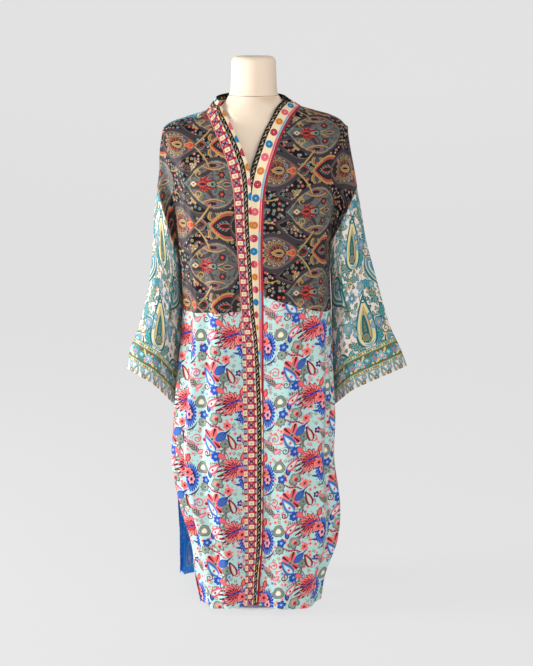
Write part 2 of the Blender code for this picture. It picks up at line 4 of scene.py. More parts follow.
import bpy
import numpy as np
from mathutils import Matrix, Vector


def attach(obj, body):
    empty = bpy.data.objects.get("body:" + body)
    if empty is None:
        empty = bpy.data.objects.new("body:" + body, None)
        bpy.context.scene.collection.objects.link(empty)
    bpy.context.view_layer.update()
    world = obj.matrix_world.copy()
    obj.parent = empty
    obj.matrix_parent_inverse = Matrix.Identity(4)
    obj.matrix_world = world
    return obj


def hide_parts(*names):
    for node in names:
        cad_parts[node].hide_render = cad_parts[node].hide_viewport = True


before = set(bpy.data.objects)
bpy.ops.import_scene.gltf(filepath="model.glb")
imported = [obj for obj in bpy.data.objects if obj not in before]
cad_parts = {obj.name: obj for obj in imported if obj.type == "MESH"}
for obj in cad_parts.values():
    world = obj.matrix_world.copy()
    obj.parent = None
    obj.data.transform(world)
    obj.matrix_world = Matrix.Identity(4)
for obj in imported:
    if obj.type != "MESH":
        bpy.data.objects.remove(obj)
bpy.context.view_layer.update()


# Driving sizes of the cloth, in metres. Left and right are the picture's here: left is the wearer's right, at -X.
signs = {"left": -1, "right": 1}
seamGap = 0.0001
cornerPlace = 0.80
slitTop = 0.43
slitGape = {"left": 0.052, "right": 0.022}
bandOverlap = 0.0017
bandTuck = 0.0008
underarmStart = 0.0010
underarmEase = 0.0006
neckHalf = 0.106
neckScoop = 0.044
sideInset = 0.00004
armholeInset = 0.0006
bandInset = 0.0001
seamReach = 0.16
shoulderLevel = 1.150
sideRound = 0.9
frontRound = 0.62
crestReach = 0.045
armholeSteps = 44
yokeRowsBelow = 58

# Half widths and depths of the body of the robe, from the shoulder corner to the hem
bodyColumns = ("height", "left", "right", "leftBack", "rightBack", "front", "crest", "back", "valley")
bodyRows = (
    (1.15, 0.2157, 0.2212, 0.2157, 0.2212, 0.118, 0.004, 0.098, 0.0),
    (1.05, 0.193, 0.201, 0.193, 0.201, 0.124, 0.008, 0.106, 0.014),
    (0.96, 0.1815, 0.186, 0.1815, 0.186, 0.126, 0.012, 0.102, 0.03),
    (0.882, 0.1765, 0.1735, 0.1765, 0.1735, 0.123, 0.012, 0.099, 0.026),
    (0.837, 0.1708, 0.1745, 0.1708, 0.1745, 0.121, 0.012, 0.098, 0.012),
    (0.735, 0.166, 0.18, 0.166, 0.18, 0.117, 0.014, 0.1, 0.0),
    (0.6, 0.1745, 0.1875, 0.1745, 0.1875, 0.115, 0.02, 0.11, 0.0),
    (0.48, 0.1875, 0.1905, 0.1875, 0.1905, 0.113, 0.025, 0.116, 0.0),
    (0.375, 0.195, 0.188, 0.193, 0.186, 0.112, 0.029, 0.12, 0.0),
    (0.25, 0.175, 0.202, 0.188, 0.183, 0.11, 0.032, 0.124, 0.0),
    (0.16, 0.151, 0.194, 0.186, 0.18, 0.109, 0.033, 0.127, 0.0),
    (0.08, 0.143, 0.17, 0.187, 0.17, 0.108, 0.034, 0.13, 0.0),
    (0.0, 0.1285, 0.161, 0.188, 0.162, 0.108, 0.034, 0.132, 0.0),
)

# Distance out from the middle, and the height of the shoulder ridge there, left and right
shoulderRows = (
    (0.0, 1.224, 1.225),
    (0.06, 1.21, 1.216),
    (0.105, 1.19, 1.199),
    (0.144, 1.178, 1.188),
    (0.178, 1.167, 1.178),
    (0.2, 1.156, 1.166),
    (0.212, 1.144, 1.154),
)

# Height, and how far out the drop shoulder and the sleeve reach there, left and right
outerRows = (
    (1.15, 0.2065, 0.213),
    (1.1, 0.2155, 0.221),
    (1.05, 0.217, 0.2315),
    (1.018, 0.2215, 0.237),
    (0.96, 0.2305, 0.2485),
    (0.89, 0.236, 0.261),
    (0.82, 0.243, 0.2805),
    (0.746, 0.2553, 0.3015),
    (0.68, 0.274, 0.3225),
    (0.625, 0.2955, 0.3487),
    (0.58, 0.3045, 0.3655),
)

# Inner fold of each sleeve, from the underarm to the cuff
sleeves = {
    "left": dict(top=1.018, tip=0.580, underarm=0.837, innerX=(0.1708, 0.1690, 0.1772, 0.1895),
                 innerEnd=0.486, bulge=0.050, cuffBulge=0.058, crease=(-0.62, -0.10), lean=0.050, lift=0.030),
    "right": dict(top=1.018, tip=0.585, underarm=0.882, innerX=(0.1735, 0.1822, 0.1842, 0.1900),
                  innerEnd=0.488, bulge=0.048, cuffBulge=0.064, crease=(-0.30, -0.55), lean=0.0, lift=0.032),
}

# Edges of the two front bands. The neck edge is the free one, the outer edge is sewn to the panel.
bandColumns = ("neckHeight", "neckX", "neckY", "outerHeight", "outerX")
bandRows = {
    "left": (
        (1.218, -0.086, 0.0, 1.188, -0.11),
        (1.203, -0.0745, -0.03, 1.172, -0.099),
        (1.18, -0.06, -0.06, 1.152, -0.089),
        (1.15, -0.043, -0.089, 1.129, -0.0771),
        (1.11, -0.024, -0.109, 1.093, -0.062),
        (1.055, -0.0078, -0.118, 1.045, -0.0492),
        (0.93, -0.003, -0.124, 0.93, -0.04),
        (0.76, 0.006, -0.117, 0.76, -0.029),
        (0.51, 0.0195, -0.114, 0.51, -0.0245),
        (0.3, 0.0195, -0.111, 0.3, -0.0235),
        (0.18, 0.017, -0.109, 0.18, -0.0225),
        (0.096, 0.0095, -0.108, 0.096, -0.0212),
        (0.018, 0.0055, -0.108, 0.018, -0.023),
    ),
    "right": (
        (1.218, 0.0745, 0.0, 1.196, 0.105),
        (1.203, 0.0552, -0.044, 1.183, 0.0905),
        (1.18, 0.0418, -0.066, 1.164, 0.0765),
        (1.15, 0.0244, -0.09, 1.135, 0.0612),
        (1.11, 0.0082, -0.1075, 1.096, 0.047),
        (1.055, -0.0075, -0.118, 1.048, 0.0322),
        (0.93, -0.0165, -0.124, 0.93, 0.0215),
        (0.76, -0.0165, -0.117, 0.76, 0.0225),
        (0.51, -0.016, -0.114, 0.51, 0.0225),
        (0.3, -0.016, -0.111, 0.3, 0.0225),
        (0.18, -0.017, -0.109, 0.18, 0.021),
        (0.096, -0.0175, -0.108, 0.096, 0.015),
        (0.018, -0.0175, -0.108, 0.018, 0.01),
    ),
}

# Folds. Place runs from 0 at the front opening to 1 at a side and 2 at the middle of the back,
# negative on the wearer's right. Each row: place at the top and at the hem, height where the fold
# starts and where it is full, rise (outward, a trough's is negative) and width.
foldRows = (
    (-0.3, -0.26, 0.98, 0.55, 0.005, 0.055),
    (-0.44, -0.4, 1.02, 0.6, -0.006, 0.045),
    (-0.56, -0.54, 1.02, 0.5, 0.008, 0.05),
    (-0.68, -0.66, 0.96, 0.55, -0.009, 0.045),
    (-0.84, -0.8, 0.9, 0.5, 0.008, 0.05),
    (0.26, 0.24, 0.9, 0.4, 0.005, 0.06),
    (0.42, 0.4, 0.98, 0.5, -0.005, 0.05),
    (0.58, 0.55, 1.0, 0.5, 0.006, 0.055),
    (0.7, 0.72, 0.8, 0.35, -0.011, 0.04),
    (0.84, 0.86, 0.72, 0.3, 0.01, 0.05),
    (-1.18, -1.15, 0.8, 0.35, -0.01, 0.06),
    (-1.36, -1.34, 0.95, 0.4, 0.01, 0.075),
    (-1.55, -1.56, 1.0, 0.4, -0.011, 0.07),
    (-1.76, -1.78, 1.0, 0.45, 0.009, 0.08),
    (-1.96, -1.98, 1.02, 0.45, -0.009, 0.075),
    (1.2, 1.16, 0.8, 0.35, -0.009, 0.06),
    (1.4, 1.36, 0.96, 0.45, 0.01, 0.08),
    (1.6, 1.58, 0.99, 0.4, -0.012, 0.07),
    (1.8, 1.78, 1.0, 0.45, 0.01, 0.075),
)

# Reading of the tables

def readTable(columns, rows, name, at):
    data = np.array(sorted(rows))
    places = data[:, 0]
    values = data[:, columns.index(name)]
    slopes = np.gradient(values, places)
    at = np.clip(np.asarray(at, dtype=float), places[0], places[-1])
    low = np.clip(np.searchsorted(places, at) - 1, 0, len(places) - 2)
    step = places[low + 1] - places[low]
    part = (at - places[low]) / step
    rest = 1 - part
    return (
        values[low] * (1 + 2 * part) * rest**2
        + values[low + 1] * (1 + 2 * rest) * part**2
        + slopes[low] * step * part * rest**2
        - slopes[low + 1] * step * rest * part**2
    )


bodyAt = partial(readTable, bodyColumns, bodyRows)
shoulderAt = partial(readTable, ("out", "left", "right"), shoulderRows)
outerAt = partial(readTable, ("height", "left", "right"), outerRows)


def ease(part):
    part = np.clip(part, 0, 1)
    return part * part * (3 - 2 * part)


def mix(start, end, part):
    return start + (end - start) * part


# The shaped surface of the robe. A face is -1 for the front and 1 for the back.

def armhole(side):
    # Middle and half size of the ring that the sleeve is sewn to, across and up
    sleeve = sleeves[side]
    high = np.array((float(outerAt(side, sleeve["top"])), sleeve["top"]))
    low = np.array((sleeve["innerX"][0], sleeve["underarm"]))
    return (high + low) / 2, (high - low) / 2


def shoulderOut(side, place):
    # How far out a column of the cloth passes over the shoulder
    return float(bodyAt(side, shoulderLevel)) * np.sin(np.minimum(place, 1) * math.pi / 2) ** sideRound


def cornerHeight(side):
    return float(shoulderAt(side, shoulderOut(side, cornerPlace)))


def ridgeHeight(side, place):
    # Height of the shoulder fold line over a column of the cloth
    ridge = shoulderAt(side, shoulderOut(side, np.minimum(place, cornerPlace)))
    fallen = np.clip((place - cornerPlace) / (1 - cornerPlace), 0, 1)
    return mix(ridge, sleeves[side]["top"], fallen)


def ridgeSpan(side, place):
    # Height over which the cloth rounds down from the ridge to its full depth
    span = mix(0.17, 0.10, np.clip((place - 0.3) / (cornerPlace - 0.3), 0, 1))
    return mix(span, armhole(side)[1][1], np.clip((place - cornerPlace) / (1 - cornerPlace), 0, 1))


def edgeOffset(side, face, height):
    # Where the side edge of a panel lies: on the armhole, the side seam or the slit
    middle, half = armhole(side)
    sleeve = sleeves[side]
    outer = outerAt(side, np.minimum(height, cornerHeight(side)))
    ring = middle[0] + half[0] * (height - middle[1]) / half[1]
    body = bodyAt(side if face < 0 else side + "Back", height)
    x = np.where(height > sleeve["top"], outer, np.where(height > sleeve["underarm"], ring, body))
    low = np.clip((middle[1] - height) / half[1], 0, 1)
    ringDepth = sleeve["bulge"] * np.sqrt(1 - low**2)
    slitDepth = slitGape[side] * ease((slitTop - height) / slitTop)
    return x, np.where(height > sleeve["underarm"], ringDepth, slitDepth)


# Creases laid on each side and face: start and end (place and height), width and rise
creaseRows = {
    ("left", -1): (
        (0.2, 1.165, 0.5, 1.06, 0.011, 0.0022), (0.33, 1.15, 0.62, 1.01, 0.012, -0.0026),
        (0.5, 1.12, 0.7, 0.93, 0.01, 0.0026), (0.62, 1.09, 0.66, 0.83, 0.011, -0.003),
        (0.54, 1.01, 0.58, 0.77, 0.012, 0.003), (0.44, 0.96, 0.46, 0.64, 0.013, -0.0022),
        (0.3, 0.9, 0.34, 0.56, 0.015, 0.002), (0.74, 0.76, 0.7, 0.47, 0.01, -0.0034),
        (0.62, 0.72, 0.6, 0.33, 0.012, 0.003), (0.36, 0.42, 0.33, 0.06, 0.013, -0.0026),
        (0.52, 0.38, 0.5, 0.02, 0.014, 0.0028), (0.22, 0.52, 0.24, 0.16, 0.014, 0.0018),
        (0.88, 0.69, 0.84, 0.36, 0.012, 0.003),
    ),
    ("right", -1): (
        (0.24, 1.17, 0.46, 1.08, 0.01, 0.0018), (0.48, 1.15, 0.74, 0.99, 0.012, -0.0026),
        (0.6, 1.12, 0.8, 0.96, 0.009, 0.0024), (0.66, 1.02, 0.72, 0.86, 0.01, -0.0024),
        (0.5, 0.98, 0.52, 0.78, 0.014, 0.002), (0.34, 0.93, 0.36, 0.62, 0.016, -0.0016),
        (0.62, 0.74, 0.6, 0.4, 0.013, 0.0028), (0.52, 0.64, 0.5, 0.2, 0.013, -0.0026),
        (0.4, 0.56, 0.36, 0.06, 0.015, 0.0024), (0.76, 0.7, 0.8, 0.38, 0.01, -0.0038),
        (0.7, 0.52, 0.74, 0.18, 0.011, 0.0034), (0.86, 0.48, 0.88, 0.12, 0.01, -0.0036),
        (0.26, 0.33, 0.24, 0.02, 0.012, -0.002),
    ),
    ("left", 1): (
        (0.18, 1.15, 0.4, 1.03, 0.014, 0.0022), (0.5, 1.11, 0.66, 0.9, 0.012, -0.0028),
        (0.7, 1.05, 0.74, 0.83, 0.01, 0.0028), (0.36, 0.98, 0.34, 0.64, 0.015, 0.0026),
        (0.56, 0.86, 0.52, 0.43, 0.013, -0.0032), (0.24, 0.64, 0.26, 0.18, 0.014, -0.003),
        (0.68, 0.56, 0.64, 0.08, 0.013, 0.0034), (0.84, 0.64, 0.86, 0.22, 0.012, -0.003),
        (0.44, 0.38, 0.42, 0.02, 0.013, 0.0028),
    ),
    ("right", 1): (
        (0.16, 1.16, 0.36, 1.05, 0.013, -0.0018), (0.46, 1.13, 0.68, 0.93, 0.012, 0.0026),
        (0.66, 1.04, 0.7, 0.84, 0.011, -0.0028), (0.3, 0.96, 0.32, 0.56, 0.016, -0.0024),
        (0.52, 0.82, 0.5, 0.38, 0.013, 0.0032), (0.12, 0.7, 0.14, 0.24, 0.014, 0.0026),
        (0.72, 0.6, 0.7, 0.14, 0.012, -0.0034), (0.86, 0.52, 0.84, 0.06, 0.013, 0.003),
        (0.38, 0.34, 0.4, 0.02, 0.014, -0.0028),
    ),
}

# Slow unevenness of hanging cloth: waves round the body, waves down it, start, height in metres
swellRows = (
    (6.0, 9.0, 0.4, 0.00045),
    (11.0, -14.0, 2.1, 0.0004),
    (17.0, 6.0, 4.4, 0.0003),
    (23.0, 21.0, 1.3, 0.00022),
    (9.0, 33.0, 3.2, 0.0002),
    (31.0, -11.0, 5.6, 0.00018),
)


# Width of cloth over one unit of place
placeWidth = 0.27


def creaseSum(side, face, place, height):
    total = np.zeros(np.broadcast(place, height).shape)
    around = (place if face < 0 else 2 - place) * signs[side]
    for waves, down, start, size in swellRows:
        total += size * np.sin(waves * around + down * height + start)
    for place1, height1, place2, height2, width, rise in creaseRows[side, face]:
        runX, runZ = (place2 - place1) * placeWidth, height2 - height1
        awayX, awayZ = (place - place1) * placeWidth, height - height1
        span = math.hypot(runX, runZ)
        along = (awayX * runX + awayZ * runZ) / span**2
        across = (awayX * runZ - awayZ * runX) / span
        across = across + 0.006 * np.sin(along * 5 + place1 * 40)
        ends = ease(along / 0.35) * ease((1 - along) / 0.45)
        total += rise * ends * np.exp(-((across / width) ** 2))
    return total


def foldSum(around, height):
    total = np.zeros_like(around)
    for place, placeLow, starts, full, rise, width in foldRows:
        grown = ease((starts - height) / (starts - full))
        centre = mix(place, placeLow, np.clip((starts - height) / starts, 0, 1))
        away = (around - centre + 2) % 4 - 2
        total += rise * grown * np.exp(-((away / width) ** 2))
    return total * mix(0.35, 1, ease(height / 0.22))


def robePoint(side, face, place, height):
    # Point of the cloth's middle surface. Place is 0 at the middle and 1 at the side edge.
    place = np.asarray(place, dtype=float)
    height = np.asarray(height, dtype=float)
    half = bodyAt(side if face < 0 else side + "Back", height)
    corner = cornerHeight(side)
    end = mix(cornerPlace, 1, np.clip((corner - height) / (corner - sleeves[side]["top"]), 0.02, 1))
    past = np.clip((place - cornerPlace) / (end - cornerPlace), 0, 1)
    turn = np.where(place < cornerPlace, place, mix(cornerPlace, 1, past)) * math.pi / 2
    edgeX, edgeDepth = edgeOffset(side, face, height)
    x = half * np.sin(turn) ** sideRound + ease(past) * (edgeX - half)
    depth = bodyAt("front" if face < 0 else "back", height)
    if face < 0:
        depth = depth + bodyAt("crest", height) * (1 - np.exp(-((x / crestReach) ** 2)))
    fall = ridgeHeight(side, place) - height
    filled = np.sqrt(1 - (1 - np.clip(fall / ridgeSpan(side, place), 0, 1)) ** 2)
    y = (depth * np.cos(turn).clip(0, 1) ** frontRound + ease(past) * edgeDepth) * filled
    y -= bodyAt("valley", height) * np.sin(math.pi * past) ** 2
    sign = signs[side]
    x, y = sign * x, face * y
    around = sign * (place if face < 0 else 2 - place)
    reach = np.hypot(x, y) + 1e-9
    fold = foldSum(around, height) + creaseSum(side, face, place, height)
    return np.stack([x + x / reach * fold, y + y / reach * fold, height + 0 * x], axis=-1)


def placeAt(side, x, height):
    # Place of the front column that lies at x
    half = bodyAt(side, height)
    return np.arcsin(np.clip(np.abs(x) / half, 0, 1) ** (1 / sideRound)) / (math.pi / 2)


def frontDepth(x, height):
    left, right = (robePoint(side, -1, placeAt(side, x, height), height)[..., 1] for side in ("left", "right"))
    return np.where(np.asarray(x) < 0, left, right)


# Seam lines

def waistSeam(side, x):
    height, slope, start = (0.745, 0.075, 0.031) if side == "left" else (0.780, 0.330, 0.021)
    return height - slope * (np.abs(x) - start)


def waistSeamBack(x):
    return 0.745 + 0.004 * np.cos(x / 0.17)


def hemHeight(side, face, place):
    backHem, backHemDip, backHemWave = 0.0200, 0.0075, 0.002
    frontHem, hemFlip = 0.0180, {"left": 0.016, "right": 0.004}
    if face < 0:
        return backHem - backHemDip * ease(place) + backHemWave * np.sin(place * 9)
    return frontHem + hemFlip[side] * ease((place - 0.6) / 0.4)


# Front panels

def bandOuter(side, height):
    return readTable(("height", "x"), [row[3:] for row in bandRows[side]], "x", height)


def seamForward(side, place):
    # How far in front of the shoulder ridge the back panel reaches
    past = ease((shoulderOut(side, place) - neckHalf) / 0.020)
    if side == "left":
        return 0.0004 + past * mix(0.030, 0.012, ease((place - 0.30) / 0.35)) * (1 - ease((place - 0.74) / 0.18))
    return 0.0004 + past * (0.003 + 0.006 * ease((place - 0.80) / 0.08) * (1 - ease((place - 0.94) / 0.06)))


def ridgeFall(side, place, forward):
    # Height lost where the cloth has come a given distance forward from the ridge
    depth = -robePoint(side, -1, place, ridgeHeight(side, place) - 0.30 * ridgeSpan(side, place))[..., 1] / 0.714
    share = np.clip(forward / np.maximum(depth, 0.004), 0, 0.9)
    return ridgeSpan(side, place) * (1 - np.sqrt(1 - share**2))


def sideEnd(side, height):
    # A panel stops a little short of the armhole, and a hair short of the side seam
    onArmhole = ease((height - sleeves[side]["underarm"] + 0.004) / 0.012)
    return 1 - mix(sideInset, armholeInset, onArmhole)


def rowShares(side, low):
    # Shares of a yoke's height at its side edge, matched to the points round the armhole
    turn = np.arange(armholeSteps + 1) / armholeSteps * math.pi
    top, under = sleeves[side]["top"], sleeves[side]["underarm"]
    ring = (top + under) / 2 + (top - under) / 2 * np.cos(turn)
    below = np.linspace(under, low, yokeRowsBelow + 1)[1:]
    return (top - np.append(ring, below)) / (top - low)


def frontGrid(side, rows, cols, part):
    # The yoke runs from the shoulder to the waist seam, the skirt from there to the hem
    down = np.linspace(0, 1, rows)[:, None]
    across = np.linspace(0, 1, cols)[None, :]
    across = across + 0.10 * np.sin(2 * math.pi * across) / (2 * math.pi)
    sign = signs[side]
    inset = seamGap / 2
    inner = np.full((rows, 1), 0.4)
    height = np.full((rows, cols), 0.9)
    place = mix(inner, sideEnd(side, height), across)
    if part == "yoke":
        atSide = rowShares(side, float(waistSeam(side, seamReach * sign)) + inset)[:, None]
        atFront = mix(down, down**2, 0.85)
    for step in range(30):
        x = robePoint(side, -1, place, np.full(place.shape, 0.9))[..., 0]
        seam = waistSeam(side, np.where(np.abs(x) < seamReach, x, seamReach * sign))
        if part == "yoke":
            top = ridgeHeight(side, place) - ridgeFall(side, place, seamForward(side, place) + inset)
            low = seam + inset
            down = mix(atFront, atSide, ease((place - 0.55) / 0.45))
        else:
            top = seam - inset
            low = hemHeight(side, -1, place)
        height = mix(top, low, down)
        edge = bandOuter(side, height[:, :1]) + sign * bandInset
        inner = placeAt(side, edge, height[:, :1])
        place = mix(inner, sideEnd(side, height), across)
    return robePoint(side, -1, place, height), place


# Back panels, in one grid from one side edge to the other

def backColumns(rightTop, leftTop, neckCols):
    # Columns of the back: those of each front at the shoulder, and some more behind the neck
    neck = np.concatenate([-rightTop[0] * np.linspace(1, 0, neckCols)[1:],
                           leftTop[0] * np.linspace(0, 1, neckCols)[1:-1]])
    return np.concatenate([-rightTop[::-1], neck, leftTop])


def neckScoopFall(side, place):
    # How far the back neck edge lies below the shoulder ridge's line
    ridge = ridgeHeight(side, place)
    out = np.abs(robePoint(side, 1, place, ridge - 0.0001)[..., 0])
    return neckScoop * np.clip(1 - (out / neckHalf) ** 2, 0, 1)


def backGrid(rows, columns, part):
    down = np.linspace(0, 1, rows)
    grid = np.zeros((rows, len(columns), 3))
    for index, value in enumerate(columns):
        side = "left" if value < 0 else "right"
        place = abs(value)
        seam = float(waistSeamBack(robePoint(side, 1, place, 0.9)[0]))
        if part == "skirt":
            height = mix(seam - seamGap / 2, float(hemHeight(side, 1, place)), down)
            reach = np.minimum(place / columns.max(), 1) * (1 - sideInset)
            grid[:, index] = robePoint(side, 1, np.full(rows, reach), height)
            continue
        ridge = float(ridgeHeight(side, place))
        whole = ridge - seam - seamGap / 2
        scoop = float(neckScoopFall(side, place))
        forward = float(seamForward(side, place)) - seamGap / 2
        start = -math.sqrt(float(ridgeFall(side, place, forward)) / whole)
        if scoop > 0:
            start = math.sqrt(scoop / whole)
        atSide = np.sqrt(rowShares(side, seam + seamGap / 2))
        run = mix(start, 1, mix(down, atSide, float(ease((place - 0.55) / 0.45))))
        height = ridge - whole * run**2
        reach = place / (1 - armholeInset) * sideEnd(side, height)
        ahead = robePoint(side, -1, reach, height)
        behind = robePoint(side, 1, reach, height)
        grid[:, index] = np.where(run[:, None] < 0, ahead, behind)
    return grid


# Bands

def bandGrid(side, edgeHeights, cols):
    # Each row starts from the panel's own edge point and crosses to the free neck edge
    stepAt = partial(readTable, ("step", *bandColumns), [(step, *row) for step, row in enumerate(bandRows[side])])
    fine = np.linspace(0, len(bandRows[side]) - 1, 400)
    fineHeights = stepAt("outerHeight", fine)
    at = np.interp(-edgeHeights, -fineHeights, fine)
    neckZ, neckX, neckY = (stepAt(name, at) for name in bandColumns[:3])
    sign = signs[side]
    outerX = bandOuter(side, edgeHeights) - sign * bandInset
    grid = np.zeros((len(at), cols, 3))
    lifted = np.where(neckZ > 1.10, neckY - frontDepth(neckX, neckZ), 0) * ease((neckZ - 1.10) / 0.05)
    for index, part in enumerate(np.linspace(0, 1, cols)):
        x, z = mix(outerX, neckX, part), mix(edgeHeights, neckZ, part)
        back = -bandOverlap * min(1, part / 0.25) if side == "left" else bandTuck * min(1, part / 0.10)
        y = frontDepth(x, z) + lifted * part + back * ease((1.09 - z) / 0.05)
        grid[:, index] = np.stack([x, y, z], axis=-1)
    return grid


def backBandGrid(rows, cols):
    # The stretch of band that stands up behind the neck, on the back panel's neck edge
    halfTurn = math.radians(88.5)
    standReach = {"left": 0.0860, "right": 0.0745}
    standDepth, standTop, standRise, seamLift = 0.0660, 1.218, 0.010, 0.0012
    grid = np.zeros((rows, cols, 3))
    for index, share in enumerate(np.linspace(-1, 1, rows)):
        side = "left" if share < 0 else "right"
        turn = share * halfTurn
        place = float(placeAt(side, neckHalf * abs(math.sin(turn)), shoulderLevel))
        fall = float(ridgeHeight(side, place)) - float(neckScoopFall(side, place))
        low = robePoint(side, 1, place, fall)
        low[2] += seamLift
        high = np.array((standReach[side] * math.sin(turn), standDepth * math.cos(turn),
                         standTop + standRise * math.cos(turn)))
        for spot, part in enumerate(np.linspace(0, 1, cols)):
            grid[index, spot] = mix(low, high, part)
    return grid


# Sleeves

def sleeveGrid(side, rows, cols):
    sleeve = sleeves[side]
    sign = signs[side]
    turn = (np.arange(cols) / cols * 2 * math.pi)[None, :]
    width = np.cos(turn)
    nearUnderarm = ((1 - width) / 2) ** 6
    down = mix(underarmStart * nearUnderarm, 1, np.linspace(0, 1, rows)[:, None])
    outerZ = mix(sleeve["top"], sleeve["tip"], down)
    outerX = outerAt(side, outerZ)
    innerZ = mix(sleeve["underarm"], sleeve["innerEnd"], down)
    knots = list(zip((0, 0.35, 0.7, 1), sleeve["innerX"]))
    innerX = readTable(("down", "x"), knots, "x", down) + underarmEase * nearUnderarm
    x = (outerX + innerX) / 2 + (outerX - innerX) / 2 * width
    z = (outerZ + innerZ) / 2 + (outerZ - innerZ) / 2 * width
    crease = mix(*sleeve["crease"], ease(down / 0.65))
    toCrease = np.where(width > crease, (1 - width) / (1 - crease), (1 + width) / (1 + crease))
    sharp = np.clip(toCrease, 0, 1) ** 0.8
    round_ = np.abs(np.sin(turn))
    shape = mix(round_, sharp, ease(down / 0.45) * np.where(np.sin(turn) > 0, 0.92, 0.45))
    bulge = mix(sleeve["bulge"], sleeve["cuffBulge"], ease(down))
    bulge = bulge * np.where(np.sin(turn) > 0, 1, mix(1, 0.75, ease(down)))
    y = -np.sign(np.sin(turn)) * bulge * shape
    ripple = 0.004 * ease((down - 0.15) / 0.5) * np.sin(3 * turn + 2.2 * down)
    forward = sleeve["lean"] * ease(down / 0.6) * (1 + width) / 2
    y = y + ripple * np.sin(turn) - forward
    x, z = x - 0.11 * forward, z + 0.25 * forward
    z = z + sleeve["lift"] * ease((down - 0.55) / 0.45) * shape * (np.sin(turn) > 0)
    return np.stack([sign * x, y, z], axis=-1)


# Cut coordinates: where each point of a panel lies on the flat cloth, in metres

def acrossLength(side, face, place, height):
    # Length of cloth from the middle of the robe out to a place, at a height
    heights = np.linspace(0.0, 1.22, 62)
    places = np.linspace(0, 1, 91)
    points = robePoint(side, face, *np.meshgrid(places, heights))
    steps = np.linalg.norm(np.diff(points, axis=1), axis=-1)
    sums = np.concatenate([np.zeros((len(heights), 1)), np.cumsum(steps, axis=1)], axis=1)
    row = np.clip((height - heights[0]) / (heights[1] - heights[0]), 0, len(heights) - 1.001)
    col = np.clip(place, 0, 1) * (len(places) - 1.001)
    low, left = row.astype(int), col.astype(int)
    rowPart, colPart = row - low, col - left
    return mix(mix(sums[low, left], sums[low, left + 1], colPart),
               mix(sums[low + 1, left], sums[low + 1, left + 1], colPart), rowPart)


def runLength(grid, axis):
    # Running length along the rows or the columns of a grid
    steps = np.linalg.norm(np.diff(grid, axis=axis), axis=-1)
    sums = np.cumsum(steps, axis=axis)
    start = np.zeros_like(np.take(sums, [0], axis=axis))
    return np.concatenate([start, sums], axis=axis)


def upLength(grid):
    # Height on the cloth: the lowest row starts at its own height and each row above adds its step
    run = runLength(grid[::-1], 0)[::-1]
    return run + grid[-1:, :, 2]


# Thin shells of cloth

clothShellSizes = {
    "thickness": 0.0010,
    "sharpAngle": 50,
}


def finishPiece(thing, node, material):
    thing.data.shade_smooth()
    thing.data.set_sharp_from_angle(angle=math.radians(clothShellSizes["sharpAngle"]))
    thing.data.materials.clear()
    thing.data.materials.append(material)
    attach(thing, "root")
    if node:
        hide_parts(node)


def meshObject(name, points, faces, edges=()):
    mesh = bpy.data.meshes.new(name)
    mesh.from_pydata([tuple(point) for point in points], edges, faces)
    mesh.update()
    thing = bpy.data.objects.new(name, mesh)
    bpy.context.scene.collection.objects.link(thing)
    return thing


def outerNormals(grid, outward):
    normals = np.cross(np.gradient(grid, axis=1), np.gradient(grid, axis=0))
    normals /= np.linalg.norm(normals, axis=-1, keepdims=True) + 1e-12
    return normals if np.sum(normals * outward) > 0 else -normals


def clothShell(name, grid, cut, outward):
    # A closed shell on both sides of a grid. The cut attribute holds across, up and the reverse side.
    normals = outerNormals(grid, outward)
    rows, cols = grid.shape[:2]
    half = clothShellSizes["thickness"] / 2
    outer, inner = ((grid + normals * away).reshape(-1, 3) for away in (half, -half))
    count = rows * cols
    index = np.arange(count).reshape(rows, cols)
    quads = np.stack([index[:-1, :-1], index[:-1, 1:], index[1:, 1:], index[1:, :-1]], axis=-1).reshape(-1, 4)
    first = outer[quads[:, 0]]
    facing = np.cross(outer[quads[:, 1]] - first, outer[quads[:, 2]] - first)
    if np.sum(facing * normals.reshape(-1, 3)[quads[:, 0]]) < 0:
        quads = quads[:, ::-1]
    rim = np.concatenate([index[0, :], index[1:, -1], index[-1, -2::-1], index[-2:0:-1, 0]])
    after = np.roll(rim, -1)
    strip = np.stack([rim, rim + count, after + count, after], axis=-1)
    edge = {(int(a), int(b)) for quad in quads for a, b in zip(quad, np.roll(quad, -1))}
    if (int(rim[0]), int(after[0])) not in edge:
        strip = strip[:, ::-1]
    faces = np.concatenate([quads, quads[:, ::-1] + count, strip]).tolist()
    thing = meshObject(name, np.vstack([outer, inner]), faces)
    place = thing.data.attributes.new("cut", "FLOAT_VECTOR", "POINT")
    values = np.zeros((2 * count, 3), dtype=np.float32)
    values[:count, :2] = values[count:, :2] = cut.reshape(-1, 2)
    values[count:, 2] = 1
    place.data.foreach_set("vector", values.ravel())
    return thing


def declareCloth(thing):
    # Reads the area of each face of the piece; the areas are not used further
    areas = np.zeros(len(thing.data.polygons), dtype=np.float32)
    thing.data.polygons.foreach_get("area", areas)


# Panels, bands and sleeves in fine steps

panelSteps = {
    "frontAcross": 66,
    "skirtDown": 170,
    "backSkirtDown": 150,
    "neckAcross": 26,
    "bandAcross": 12,
    "neckBandAround": 90,
    "sleeveDown": 120,
}


def frontPanel(side, part, rows):
    grid, place = frontGrid(side, rows, panelSteps["frontAcross"], part)
    across = signs[side] * acrossLength(side, -1, place, grid[..., 2])
    return grid, np.stack([across, upLength(grid)], axis=-1), place


def backPanel(part, rows, columns):
    grid = backGrid(rows, columns, part)
    share = np.abs(columns)[None, :] + 0 * grid[..., 2]
    left, right = (signs[side] * acrossLength(side, 1, share, grid[..., 2]) for side in ("left", "right"))
    return grid, np.stack([np.where(columns[None, :] < 0, left, right), upLength(grid)], axis=-1)


